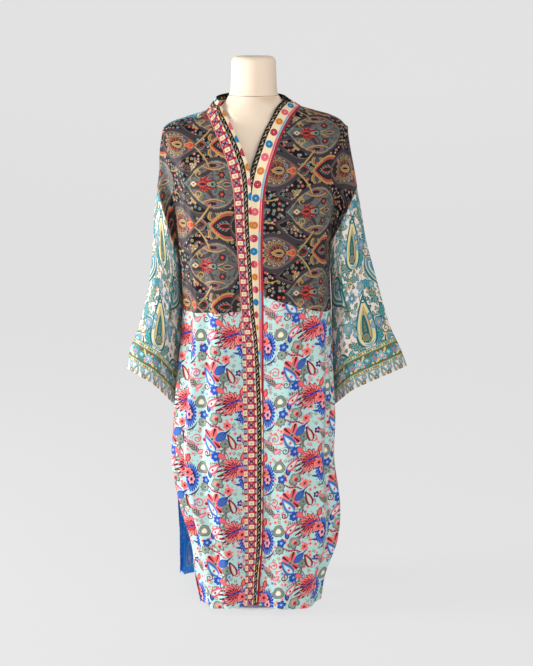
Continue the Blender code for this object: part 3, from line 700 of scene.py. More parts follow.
def bandPanel(side, edgeHeights):
    # Across runs over the strip's design: from the seam edge on the right band, and up to it on the left
    grid = bandGrid(side, edgeHeights, panelSteps["bandAcross"])
    run = runLength(grid, 1)
    width = run[:, -1:]
    if side == "left":
        high = ease((edgeHeights - 0.66) / 0.10)[:, None]
        across = run / width * mix(0.0450, 0.0420, high) + 0.008 * high
    else:
        across = 0.0450 - run
    up = runLength(grid[::-1, :1], 0)[::-1] - 0.0066 + 0 * run
    return grid, np.stack([across, up], axis=-1)


def sleevePanel(side):
    # Across runs both ways round from the fold at the top, up runs from the cuff edge
    around = armholeSteps * 2
    grid = sleeveGrid(side, panelSteps["sleeveDown"], around)
    start = around // 2
    order = (np.arange(around + 1) + start) % around
    grid = grid[:, order]
    across = runLength(grid, 1)
    across = across - across[:, start:start + 1]
    return grid, np.stack([across, runLength(grid[::-1], 0)[::-1]], axis=-1)


def buildRobe(materials):
    yokeRows = armholeSteps + yokeRowsBelow + 1
    built, edges, tops = {}, {}, {}
    wearers = {"left": "right", "right": "left"}
    for side, wearer in wearers.items():
        yoke, yokeCut, yokePlace = frontPanel(side, "yoke", yokeRows)
        skirt, skirtCut = frontPanel(side, "skirt", panelSteps["skirtDown"])[:2]
        tops[side] = yokePlace[0]
        edges[side] = np.concatenate([yoke[:, 0, 2], skirt[1:, 0, 2]])
        built[wearer + "_front_yoke"] = (yoke, yokeCut, "yoke_print")
        built[wearer + "_front_skirt"] = (skirt, skirtCut, "floral_print")
        print(f"{wearer} front panels laid out")
    for side, wearer in wearers.items():
        built[wearer + "_front_band"] = (*bandPanel(side, edges[side]), wearer + "_band_print")
        built[wearer + "_sleeve"] = (*sleevePanel(side), "sleeve_print")
    print("bands and sleeves laid out")
    columns = backColumns(tops["left"], tops["right"], panelSteps["neckAcross"])
    built["back_yoke"] = (*backPanel("yoke", yokeRows, columns), "back_upper_print")
    built["back_skirt"] = (*backPanel("skirt", panelSteps["backSkirtDown"], columns), "back_lower_print")
    collar = backBandGrid(panelSteps["neckBandAround"], panelSteps["bandAcross"])
    run = runLength(collar, 1)
    collarCut = np.stack([(1 - run / run[:, -1:]) * 0.0420, runLength(collar, 0)], axis=-1)
    built["back_neck_band"] = (collar, collarCut, "left_band_print")
    print("back panels and collar laid out")
    panels = {}
    for node, (grid, cut, slot) in built.items():
        # Away from a sleeve's own middle line, or from the axis of the robe
        outward = grid - grid.mean(axis=1, keepdims=True) if "sleeve" in node else grid * (1, 1, 0)
        panels[node] = grid, outward
        thing = clothShell(node.replace("_", "-") + "-cloth", grid, cut, outward)
        finishPiece(thing, node, materials[slot])
        declareCloth(thing)
    return panels


# Stitches along the hems, the cuffs and the bands' sewn edges, one line of Geometry Nodes each

stitchLook = {
    "inputs": {"Pitch": 0.0042, "Length": 0.0028, "Thick": 0.00026, "Sides": 5, "Uneven": 0.10, "Seed": 3},
    "hem": 0.009,
    "cuff": 0.007,
    "band": 0.0024,
    "proud": 0.0001,
}


def stitchGroup():
    tree = bpy.data.node_groups.new("stitch-run", "GeometryNodeTree")
    kinds = {"Geometry": "Geometry", "Sides": "Int", "Seed": "Int", "Thread": "Material"}
    for name in ("Geometry", *stitchLook["inputs"], "Thread"):
        kind = "NodeSocket" + kinds.get(name, "Float")
        tree.interface.new_socket(name, in_out="INPUT", socket_type=kind)
    tree.interface.new_socket("Geometry", in_out="OUTPUT", socket_type="NodeSocketGeometry")
    made = {}
    for name, kind in (("given", "NodeGroupInput"), ("path", "GeometryNodeMeshToCurve"),
                       ("spaced", "GeometryNodeResampleCurve"), ("stitch", "GeometryNodeMeshCylinder"),
                       ("tangent", "GeometryNodeInputTangent"), ("turn", "FunctionNodeAlignRotationToVector"),
                       ("varied", "FunctionNodeRandomValue"), ("low", "ShaderNodeMath"), ("high", "ShaderNodeMath"),
                       ("lay", "GeometryNodeInstanceOnPoints"), ("real", "GeometryNodeRealizeInstances"),
                       ("paint", "GeometryNodeSetMaterial"), ("out", "NodeGroupOutput")):
        made[name] = tree.nodes.new(kind)
    made["spaced"].mode = "LENGTH"
    made["turn"].axis = "Z"
    made["low"].operation = "SUBTRACT"
    made["low"].inputs[0].default_value = made["high"].inputs[0].default_value = 1.0
    floats = [socket for socket in made["varied"].inputs if socket.type == "VALUE"]
    varied = [socket for socket in made["varied"].outputs if socket.type == "VALUE"][0]
    for start, output, end, entry in (
            ("given", "Geometry", "path", 0), ("path", 0, "spaced", 0), ("given", "Pitch", "spaced", "Length"),
            ("given", "Sides", "stitch", "Vertices"), ("given", "Thick", "stitch", "Radius"),
            ("given", "Length", "stitch", "Depth"), ("given", "Uneven", "low", 1), ("given", "Uneven", "high", 1),
            ("given", "Seed", "varied", "Seed"), ("tangent", 0, "turn", "Vector"), ("spaced", 0, "lay", "Points"),
            ("stitch", 0, "lay", "Instance"), ("turn", 0, "lay", "Rotation"), ("lay", 0, "real", 0),
            ("real", 0, "paint", 0), ("given", "Thread", "paint", "Material"), ("paint", 0, "out", 0)):
        tree.links.new(made[start].outputs[output], made[end].inputs[entry])
    tree.links.new(made["low"].outputs[0], floats[0])
    tree.links.new(made["high"].outputs[0], floats[1])
    tree.links.new(varied, made["lay"].inputs["Scale"])


def linePath(grid, outward, inside, edge):
    # A line on the outer face, a little way in from the last row or from the first column
    lifted = grid + outerNormals(grid, outward) * (clothShellSizes["thickness"] / 2 + stitchLook["proud"])
    if edge == "low":
        lifted = np.swapaxes(lifted[::-1], 0, 1)
    run = runLength(lifted, 1)
    step = np.minimum(np.sum(run[:, 1:] <= inside, axis=1), lifted.shape[1] - 2)
    index = np.arange(len(lifted))
    part = ((inside - run[index, step]) / (run[index, step + 1] - run[index, step]))[:, None]
    return mix(lifted[index, step], lifted[index, step + 1], part)


def layStitches(name, paths, thread):
    points, edges = [], []
    for path in paths:
        start = len(points)
        points += list(path)
        edges += [(start + step, start + step + 1) for step in range(len(path) - 1)]
    thing = meshObject(name, points, [], edges)
    path = thing.data
    modifier = thing.modifiers.new("stitches", "NODES")
    modifier.node_group = bpy.data.node_groups["stitch-run"]
    values = {**stitchLook["inputs"], "Thread": thread}
    for item in modifier.node_group.interface.items_tree:
        if item.in_out == "INPUT" and item.name in values:
            modifier[item.identifier] = values[item.name]
    whole = bpy.data.meshes.new_from_object(thing.evaluated_get(bpy.context.evaluated_depsgraph_get()))
    thing.modifiers.clear()
    thing.data = whole
    bpy.data.meshes.remove(path)
    finishPiece(thing, None, thread)
    print(f"{name}: {len(whole.polygons)} faces")


def buildStitches(panels, materials):
    stitchGroup()
    for name, edge, slot, nodes in (
            ("hem", "low", "floral_print", ("right_front_skirt", "left_front_skirt", "back_skirt")),
            ("cuff", "low", "sleeve_print", ("right_sleeve", "left_sleeve")),
            ("band", "first", "right_band_print", ("right_front_band", "left_front_band"))):
        paths = [linePath(*panels[node], stitchLook[name], edge) for node in nodes]
        layStitches(name + "-stitches", paths, materials[name + "_thread"])


# Node helpers. A wire is a socket that takes part in arithmetic.

class Wire:
    def __init__(self, tree, socket):
        self.tree = tree
        self.socket = socket

    def math(self, operation, *others, clamp=False):
        node = self.tree.nodes.new("ShaderNodeMath")
        node.operation = operation
        node.use_clamp = clamp
        for entry, value in zip(node.inputs, (self, *others)):
            plug(value, entry)
        return Wire(self.tree, node.outputs[0])

    __add__ = partialmethod(math, "ADD")
    __sub__ = partialmethod(math, "SUBTRACT")
    __mul__ = partialmethod(math, "MULTIPLY")
    __truediv__ = partialmethod(math, "DIVIDE")
    __pow__ = partialmethod(math, "POWER")
    __abs__ = partialmethod(math, "ABSOLUTE")
    opposite = partialmethod(math, "MULTIPLY", -1.0)

    def mask(self, sharp):
        # 1 where the value is above zero, with a soft edge
        return self.math("MULTIPLY_ADD", sharp, 0.5, clamp=True)


def plug(value, entry):
    if isinstance(value, Wire):
        value.tree.links.new(value.socket, entry)
    else:
        entry.default_value = value


def nodeWire(tree, kind, values, operation=None):
    node = tree.nodes.new("ShaderNode" + kind)
    if operation:
        node.operation = operation
    for entry, value in zip(node.inputs, values):
        plug(value, entry)
    return Wire(tree, node.outputs[0])


def splitVector(wire):
    node = wire.tree.nodes.new("ShaderNodeSeparateXYZ")
    plug(wire, node.inputs[0])
    return [Wire(wire.tree, entry) for entry in node.outputs]


def makeGroup(name, build, vectors=("Cut", "Spot", "Repeat"), **numbers):
    # A shader group whose outputs are the values that the build function returns
    tree = bpy.data.node_groups.new(name, "ShaderNodeTree")
    for entry in vectors:
        tree.interface.new_socket(entry, in_out="INPUT", socket_type="NodeSocketVector")
    for entry, value in numbers.items():
        tree.interface.new_socket(entry, in_out="INPUT", socket_type="NodeSocketFloat").default_value = value
    source = tree.nodes.new("NodeGroupInput")
    made = build(tree, {entry.name: Wire(tree, entry) for entry in source.outputs if entry.name})
    for entry in made:
        tree.interface.new_socket(entry, in_out="OUTPUT", socket_type="NodeSocketFloat")
    sink = tree.nodes.new("NodeGroupOutput")
    for entry, value in made.items():
        plug(value, sink.inputs[entry])


def groupNode(tree, kind, cut):
    node = tree.nodes.new("ShaderNodeGroup")
    node.node_tree = bpy.data.node_groups[kind]
    plug(cut, node.inputs["Cut"])
    return node


def localPoint(tree, given):
    # The point in a motif's own frame: x along it and y across it, 1 at its end
    away = nodeWire(tree, "VectorMath", (given["Cut"], given["Spot"]), "SUBTRACT")
    high = nodeWire(tree, "VectorMath", (given["Repeat"], (0.5, 0.5, 0.5)), "MULTIPLY")
    low = nodeWire(tree, "VectorMath", (given["Repeat"], (-0.5, -0.5, -0.5)), "MULTIPLY")
    turn = tree.nodes.new("ShaderNodeVectorRotate")
    turn.rotation_type = "Z_AXIS"
    plug(nodeWire(tree, "VectorMath", (away, high, low), "WRAP"), turn.inputs["Vector"])
    plug(given["Turn"].opposite(), turn.inputs["Angle"])
    x, y, side = splitVector(Wire(tree, turn.outputs[0]))
    return x / given["Size"], y / given["Size"]


# Motifs of the prints. Each gives masks that the ink of a print is laid through.

maskSharp = 1700


def blossomMasks(tree, given):
    # Round motifs: flowers, rosettes, palmettes, fringed ovals and diamonds
    x, y = localPoint(tree, given)
    y = y / given["Flat"]
    x = x + (x * x + y * y - 1).math("MINIMUM", 0.0) * given["Lean"]
    reach = (x * x + y * y) ** 0.5
    petal = abs((y.math("ARCTAN2", x) * given["Petals"] * 0.5).math("COSINE"))
    lobe = (petal - 1.0).math("MULTIPLY_ADD", given["Notch"], 1.0)
    sharp = given["Size"] * maskSharp
    inside = lobe - reach
    fill = inside.mask(sharp)
    beyond = (reach - given["Eye"]).mask(sharp)
    return {
        "Fill": fill,
        "Line": (given["Edge"] - abs(inside)).mask(sharp),
        "Core": (given["Eye"] * lobe - reach).mask(sharp),
        "Ring": (given["Edge"] * 0.7 - abs(given["Hoop"] * lobe - reach)).mask(sharp),
        "Vein": (petal - 0.93).mask(14.0) * fill * beyond,
        "Gap": (petal - 0.32).opposite().mask(6.0) * fill * beyond,
    }


def dropMasks(tree, given):
    # Leaves, drops and paisleys, from a base at -1 to a tip at 1
    x, y = localPoint(tree, given)
    along = ((x + 1) * 0.5).math("MINIMUM", 1.0).math("MAXIMUM", 0.0)
    y = y - given["Bend"] * along * along
    past = (abs(x) - 1).math("MAXIMUM", 0.0)
    root = given["Root"]
    norm = (root + 1) ** (root + 1) / root**root
    width = (along - 1.0).opposite() * along**root * norm * given["Fat"]
    sharp = given["Size"] * maskSharp
    inside = width - abs(y) - past * 2
    inner = inside - given["Heart"]
    fill = inside.mask(sharp)
    apart = x + 0.33
    return {
        "Fill": fill,
        "Line": (given["Edge"] - abs(inside)).mask(sharp),
        "Core": inner.mask(sharp),
        "Inner": (given["Edge"] * 0.6 - abs(inner)).mask(sharp),
        "Rib": ((x - abs(y) * 1.1) * given["Ribs"]).math("SINE").mask(4.0) * fill,
        "Dot": (given["Seed"] - (apart * apart + y * y) ** 0.5).mask(sharp),
        "Spine": (given["Edge"] * 0.5 - abs(y)).mask(sharp) * fill,
    }


def strokeMasks(tree, given):
    # Lines, arcs, waves and rows of beads, from -1 to 1
    x, y = localPoint(tree, given)
    y = y - given["Bend"] * x * x - given["Wave"] * (x * given["Waves"]).math("SINE")
    square = (x * x).math("MINIMUM", 1.0)
    width = given["Edge"] * (given["Taper"] * square).math("MULTIPLY_ADD", -1.0, 1.0)
    past = (abs(x) - 1).math("MAXIMUM", 0.0)
    fill = (width - abs(y) - past * 2).mask(given["Size"] * maskSharp)
    return {"Fill": fill, "Core": (x * given["Beads"]).math("SINE").mask(3.0) * fill}


def curlMasks(tree, given):
    # A scroll that winds out from its middle
    x, y = localPoint(tree, given)
    reach = (x * x + y * y) ** 0.5
    winding = (reach * given["Winds"] - y.math("ARCTAN2", x) / 6.2832).math("FRACT")
    sharp = given["Size"] * maskSharp
    line = given["Edge"] - abs(winding - 0.5) / given["Winds"]
    return {"Fill": line.mask(sharp) * (reach - 1.0).opposite().mask(sharp)}


def scatterMasks(tree, given):
    # Small flowers strewn over the ground, with a number between 0 and 1 that each one is told apart by
    cells = tree.nodes.new("ShaderNodeTexVoronoi")
    cells.voronoi_dimensions = "2D"
    plug(given["Cut"], cells.inputs["Vector"])
    plug(given["Cell"] ** -1.0, cells.inputs["Scale"])
    plug(given["Loose"], cells.inputs["Randomness"])
    away = (given["Cut"], Wire(tree, cells.outputs["Position"]))
    x, y, side = splitVector(nodeWire(tree, "VectorMath", away, "SUBTRACT"))
    pick = splitVector(Wire(tree, cells.outputs["Color"]))
    reach = (x * x + y * y) ** 0.5 / given["Size"]
    angle = y.math("ARCTAN2", x) + pick[1] * 6.28
    lobe = abs((angle * given["Petals"] * 0.5).math("COSINE")) * 0.45 + 0.55
    sharp = given["Size"] * maskSharp
    return {"Fill": (lobe - reach).mask(sharp), "Core": (lobe * 0.38 - reach).mask(sharp), "Pick": pick[0]}


def silkValues(tree, given):
    # What all the silks share: slow unevenness of the dye, and the height of small rumples and the weave
    place = tree.nodes.new("ShaderNodeTexCoord").outputs["Object"]
    slow, quick = (noiseWire(tree, place, scale) for scale in (26.0, 140.0))
    x, y, side = splitVector(given["Cut"])
    weave = (x * 7400).math("SINE") * (y * 7400).math("SINE")
    return {"Shade": slow * 0.10 + 0.95, "Height": slow * 0.0022 + quick * 0.00022 + weave * 0.00001}


def noiseWire(tree, place, scale):
    noise = tree.nodes.new("ShaderNodeTexNoise")
    noise.inputs["Scale"].default_value = scale
    tree.links.new(place, noise.inputs["Vector"])
    return Wire(tree, noise.outputs[0])


def makeGroups():
    shape = dict(Turn=0, Size=0.01)
    makeGroup("blossom", blossomMasks, **shape, Petals=5, Notch=0.3, Flat=1, Eye=0.3, Hoop=0.6, Edge=0.12, Lean=0)
    makeGroup("drop", dropMasks, **shape, Fat=0.4, Root=0.5, Bend=0, Edge=0.1, Heart=0.2, Ribs=12, Seed=0.12)
    makeGroup("stroke", strokeMasks, **shape, Edge=0.08, Bend=0, Wave=0, Waves=3.1416, Taper=1, Beads=20)
    makeGroup("curl", curlMasks, **shape, Winds=1.6, Edge=0.16)
    makeGroup("scatter", scatterMasks, ("Cut",), Cell=0.007, Size=0.0026, Petals=5, Loose=0.6)
    makeGroup("silk", silkValues, ("Cut",))


# Inks as they look on screen, in sRGB

inks = {
    "aqua": (178, 214, 208), "paleAqua": (206, 228, 222), "coral": (238, 104, 104), "salmon": (240, 146, 136),
    "crimson": (170, 36, 58), "darkRed": (122, 28, 42), "maroon": (92, 30, 50), "navy": (38, 46, 112),
    "royal": (40, 78, 178), "sky": (128, 172, 214), "blue": (62, 102, 172), "dotBlue": (26, 126, 170),
    "pink": (236, 160, 166), "rose": (210, 92, 112), "cream": (240, 226, 198), "butter": (226, 206, 132),
    "gold": (190, 150, 84), "greyGreen": (142, 158, 144), "slate": (98, 100, 98), "taupe": (112, 96, 90),
    "ribbon": (66, 58, 63), "fieldGrey": (104, 104, 104), "fieldDark": (46, 40, 42), "bodyGrey": (78, 72, 78),
    "bodyLight": (140, 134, 142), "greyTeal": (108, 140, 134), "ember": (206, 74, 60), "wine": (82, 26, 32),
    "ecru": (238, 216, 180), "tan": (206, 168, 112), "bandRed": (168, 28, 50), "bandBlue": (122, 168, 194),
    "bandGrey": (146, 156, 182), "dotPink": (222, 100, 116), "teal": (50, 138, 140), "deepTeal": (32, 96, 98),
    "blueGrey": (112, 146, 176), "paleBlue": (164, 206, 226), "leafGreen": (104, 132, 104), "mist": (120, 164, 176),
    "black": (13, 11, 15), "brown": (96, 50, 44), "olive": (112, 98, 60), "bronze": (134, 122, 74),
    "dusty": (150, 92, 94), "sand": (176, 152, 118), "white": (240, 238, 234), "blush": (232, 216, 206),
    "turquoise": (40, 158, 180), "azure": (52, 150, 240), "deepBlue": (24, 104, 190), "orange": (222, 140, 62),
}


def inkColour(name):
    shares = [value / 255 for value in inks[name]]
    linear = [share / 12.92 if share < 0.04045 else ((share + 0.055) / 1.055) ** 2.4 for share in shares]
    return (*linear, 1.0)


def layInk(tree, under, ink, mask):
    node = tree.nodes.new("ShaderNodeMix")
    node.data_type = "RGBA"
    plug(mask, node.inputs[0])
    for entry, value in ((6, under), (7, ink)):
        plug(value if isinstance(value, Wire) else inkColour(value), node.inputs[entry])
    return Wire(tree, node.outputs[2])


def layStrips(tree, under, along, strips):
    # Plain stripes, each where a coordinate lies between two values in millimetres
    for ink, low, high in strips:
        under = layInk(tree, under, ink, along.math("COMPARE", (low + high) / 2000, (high - low) / 2000))
    return under


def motif(kind, size, *places, **look):
    # Size, then places (across, up, and turn in degrees), then the numbers of the shape and an ink for each mask
    return kind, size / 1000, places, look


blossom, drop, stroke, curl = (partial(motif, kind) for kind in ("blossom", "drop", "stroke", "curl"))


def layMotifs(tree, under, cut, repeat, motifs, field=None):
    for kind, size, places, look in motifs:
        for across, up, *turn in places:
            node = groupNode(tree, kind, cut)
            node.inputs["Spot"].default_value = (across / 1000, up / 1000, 0)
            node.inputs["Repeat"].default_value = (repeat[0] / 1000, repeat[1] / 1000, 4)
            node.inputs["Size"].default_value = size
            node.inputs["Turn"].default_value = math.radians(turn[0] if turn else 0)
            for entry, value in look.items():
                if isinstance(value, str):
                    ink = field if value == "field" else value
                    under = layInk(tree, under, ink, Wire(tree, node.outputs[entry]))
                else:
                    node.inputs[entry].default_value = value
    return under


def layLayers(tree, under, cut, layers):
    for repeat, motifs in layers:
        under = layMotifs(tree, under, cut, repeat, motifs)
    return under


def layScatter(tree, cut, ground, numbers, picks):
    # Each pick: the number from which it holds, ink of the flower and ink of its eye
    node = groupNode(tree, "scatter", cut)
    for entry, value in numbers.items():
        node.inputs[entry].default_value = value
    fill, core, pick = (Wire(tree, node.outputs[entry]) for entry in ("Fill", "Core", "Pick"))
    for start, flower, eye in picks:
        chosen = pick.math("GREATER_THAN", start)
        ground = layInk(tree, layInk(tree, ground, flower, chosen * fill), eye, chosen * core)
    return ground


# Prints. Repeats, places and sizes are in millimetres, starts and strewn flowers in metres.
# Front skirts: flowers, leaves and paisleys strewn on pale aqua

floralPrint = {
    "repeat": (137, 158),
    "rightStart": (0.1346, 0.696),
    "leftStart": (-0.0580, 0.687),
    "rightLean": 0.20,
    "strewn": ("aqua", dict(Cell=0.0125, Size=0.0050, Petals=4, Loose=0.9), (
        (0.0, "greyGreen", "pink"), (0.25, "salmon", "crimson"), (0.45, "aqua", "greyGreen"), (0.70, "pink", "rose"),
        (0.88, "sky", "navy"))),
    "motifs": (
        curl(11, (-18, -18, 30), Edge=0.11, Fill="rose"),
        curl(11, (38, -62, 200), Edge=0.11, Fill="greyGreen"),
        curl(12, (-84, -86, 120), Edge=0.11, Fill="rose"),
        curl(10, (-58, 40, 60), Edge=0.12, Fill="maroon"),
        curl(12, (12, 52, 160), Edge=0.1, Fill="rose"),
        stroke(20, (-14, 44, 140), Edge=0.06, Bend=0.5, Taper=0.5, Fill="maroon"),
        stroke(24, (28, 10, 100), Edge=0.055, Bend=-0.5, Taper=0.5, Fill="maroon"),
        stroke(22, (-66, -98, 20), Edge=0.05, Bend=0.4, Taper=0.5, Fill="rose"),
        blossom(32.5, (-2, 0, 16), Petals=15, Flat=0.86, Eye=0.12, Edge=0.055, Lean=0.55, Fill="coral", Vein="salmon",
            Gap="maroon", Line="maroon"),
        blossom(17.5, (1, 1, 16), Petals=11, Notch=0.32, Flat=0.8, Eye=0.1, Edge=0.1, Lean=0.5, Fill="crimson",
            Vein="coral", Line="maroon"),
        stroke(16.5, (9, 3, 16), Edge=0.15, Taper=0.3, Beads=9, Fill="navy", Core="royal"),
        blossom(27.5, (-43, -83, 12), Petals=6, Notch=0.46, Eye=0.16, Edge=0.05, Fill="coral", Line="salmon",
            Vein="maroon"),
        blossom(7.5, (-43, -83, 30), Notch=0.4, Eye=0.4, Fill="greyGreen", Core="maroon"),
        drop(15, (-21, -77, 38), Fat=0.62, Root=0.9, Fill="blue", Line="royal"),
        stroke(13, (-7, -66, 36), Edge=0.14, Fill="navy"),
        blossom(11.5, (-12, -95), Petals=8, Notch=0.18, Eye=0.34, Hoop=0.66, Edge=0.1, Fill="greyGreen", Line="slate",
            Ring="slate", Core="slate"),
        blossom(10, (-7, -52, 20), Petals=6, Notch=0.34, Eye=0.32, Fill="coral", Line="salmon", Core="maroon"),
        blossom(8.2, (22, -87), Notch=0.4, Eye=0.35, Fill="navy", Core="pink"),
        stroke(13, (21, -41, -14), Edge=0.2, Fill="navy", Core="royal"),
        stroke(25, (-38, -52, -22), Edge=0.085, Wave=0.06, Waves=5, Taper=0.4, Beads=22, Fill="maroon", Core="rose"),
        blossom(15, (-33, -34, 120), Notch=0.26, Eye=0.45, Edge=0.08, Lean=0.3, Fill="greyGreen", Line="slate",
            Core="salmon"),
        blossom(5.5, (-31, -35), Petals=6, Notch=0.4, Fill="crimson"),
        drop(19, (5, -91, 100), Fat=0.36, Bend=0.42, Heart=0.22, Fill="salmon", Line="maroon", Core="aqua"),
        drop(19, (-23, -122, 84), Fat=0.36, Bend=-0.42, Heart=0.22, Fill="greyGreen", Line="slate", Core="aqua"),
        blossom(18, (-101, -22), Flat=1.95, Petals=22, Notch=0.2, Eye=0.62, Fill="royal", Gap="sky", Core="navy"),
        blossom(8.5, (-101, -26), Flat=1.5, Petals=6, Notch=0.34, Eye=0.4, Fill="pink", Core="navy"),
        stroke(20, (-94, -60, 34), Edge=0.1, Bend=0.42, Fill="navy"),
        blossom(10.2, (-65, -28), Notch=0.36, Eye=0.35, Edge=0.1, Fill="royal", Line="navy", Core="sky"),
        blossom(10.5, (-69, -46), Petals=8, Fill="greyGreen", Line="slate", Core="slate"),
        drop(12, (-51, -9, 92), Fat=0.5, Root=0.8, Heart=0.25, Fill="navy", Core="blue"),
        drop(16, (-38, 2, 24), Fat=0.5, Bend=0.5, Edge=0.12, Heart=0.24, Seed=0.18, Fill="pink", Line="rose",
            Core="paleAqua", Dot="crimson"),
        blossom(14.5, (-72, 2, 90), Petals=3, Notch=0.2, Eye=0.45, Hoop=0.7, Edge=0.09, Fill="greyGreen",
            Line="slate", Ring="slate", Core="cream"),
        blossom(12.5, (-35, 34), Petals=7, Notch=0.24, Eye=0.4, Fill="royal", Core="navy"),
        blossom(3.6, (-35, 34), Notch=0.24, Fill="sky"),
        drop(11, (-20, 32, -40), Fat=0.48, Root=0.6, Edge=0.13, Fill="coral", Line="rose"),
        stroke(19, (-31, 17, -12), Edge=0.12, Bend=-0.36, Taper=0, Beads=26, Core="maroon"),
        drop(22, (-53, 61, 140), Bend=-0.45, Seed=0.15, Fill="sky", Line="blue", Core="paleAqua", Dot="rose"),
        drop(21, (-93, 53, 132), Fat=0.34, Root=1, Bend=0.2, Ribs=22, Fill="greyGreen", Rib="maroon"),
        drop(15, (-100, 66, 148), Fat=0.28, Root=1, Bend=0.2, Ribs=22, Fill="pink", Rib="dusty"),
        drop(9, (-77, 41, 30), Fat=0.5, Root=0.7, Edge=0.14, Fill="pink", Line="rose"),
        drop(10, (30, 27, 80), Fat=0.5, Root=0.7, Edge=0.14, Fill="coral", Line="crimson"),
        blossom(11, (27, -9), Petals=6, Notch=0.32, Eye=0.35, Edge=0.1, Fill="coral", Line="salmon", Core="maroon"),
    ),
}


def printStart(tree, across, up, given):
    # The wearer's left and right panels are cut from different places of the print
    onLeft = across.math("GREATER_THAN", 0.0)
    shifts = [onLeft * (right - left) + left for right, left in zip(given["rightStart"], given["leftStart"])]
    return nodeWire(tree, "CombineXYZ", (across - shifts[0], up - shifts[1]))


def floralColour(tree, cut, across, up):
    # The panel at +X lies a little off the grain
    lean = (across - 0.09) * across.math("GREATER_THAN", 0.0) * floralPrint["rightLean"]
    spot = printStart(tree, across, up - lean, floralPrint)
    colour = layScatter(tree, cut, *floralPrint["strewn"])
    return layMotifs(tree, colour, spot, floralPrint["repeat"], floralPrint["motifs"])


# Front yokes: drop medallions in a net of ribbons, on black strewn with tiny flowers

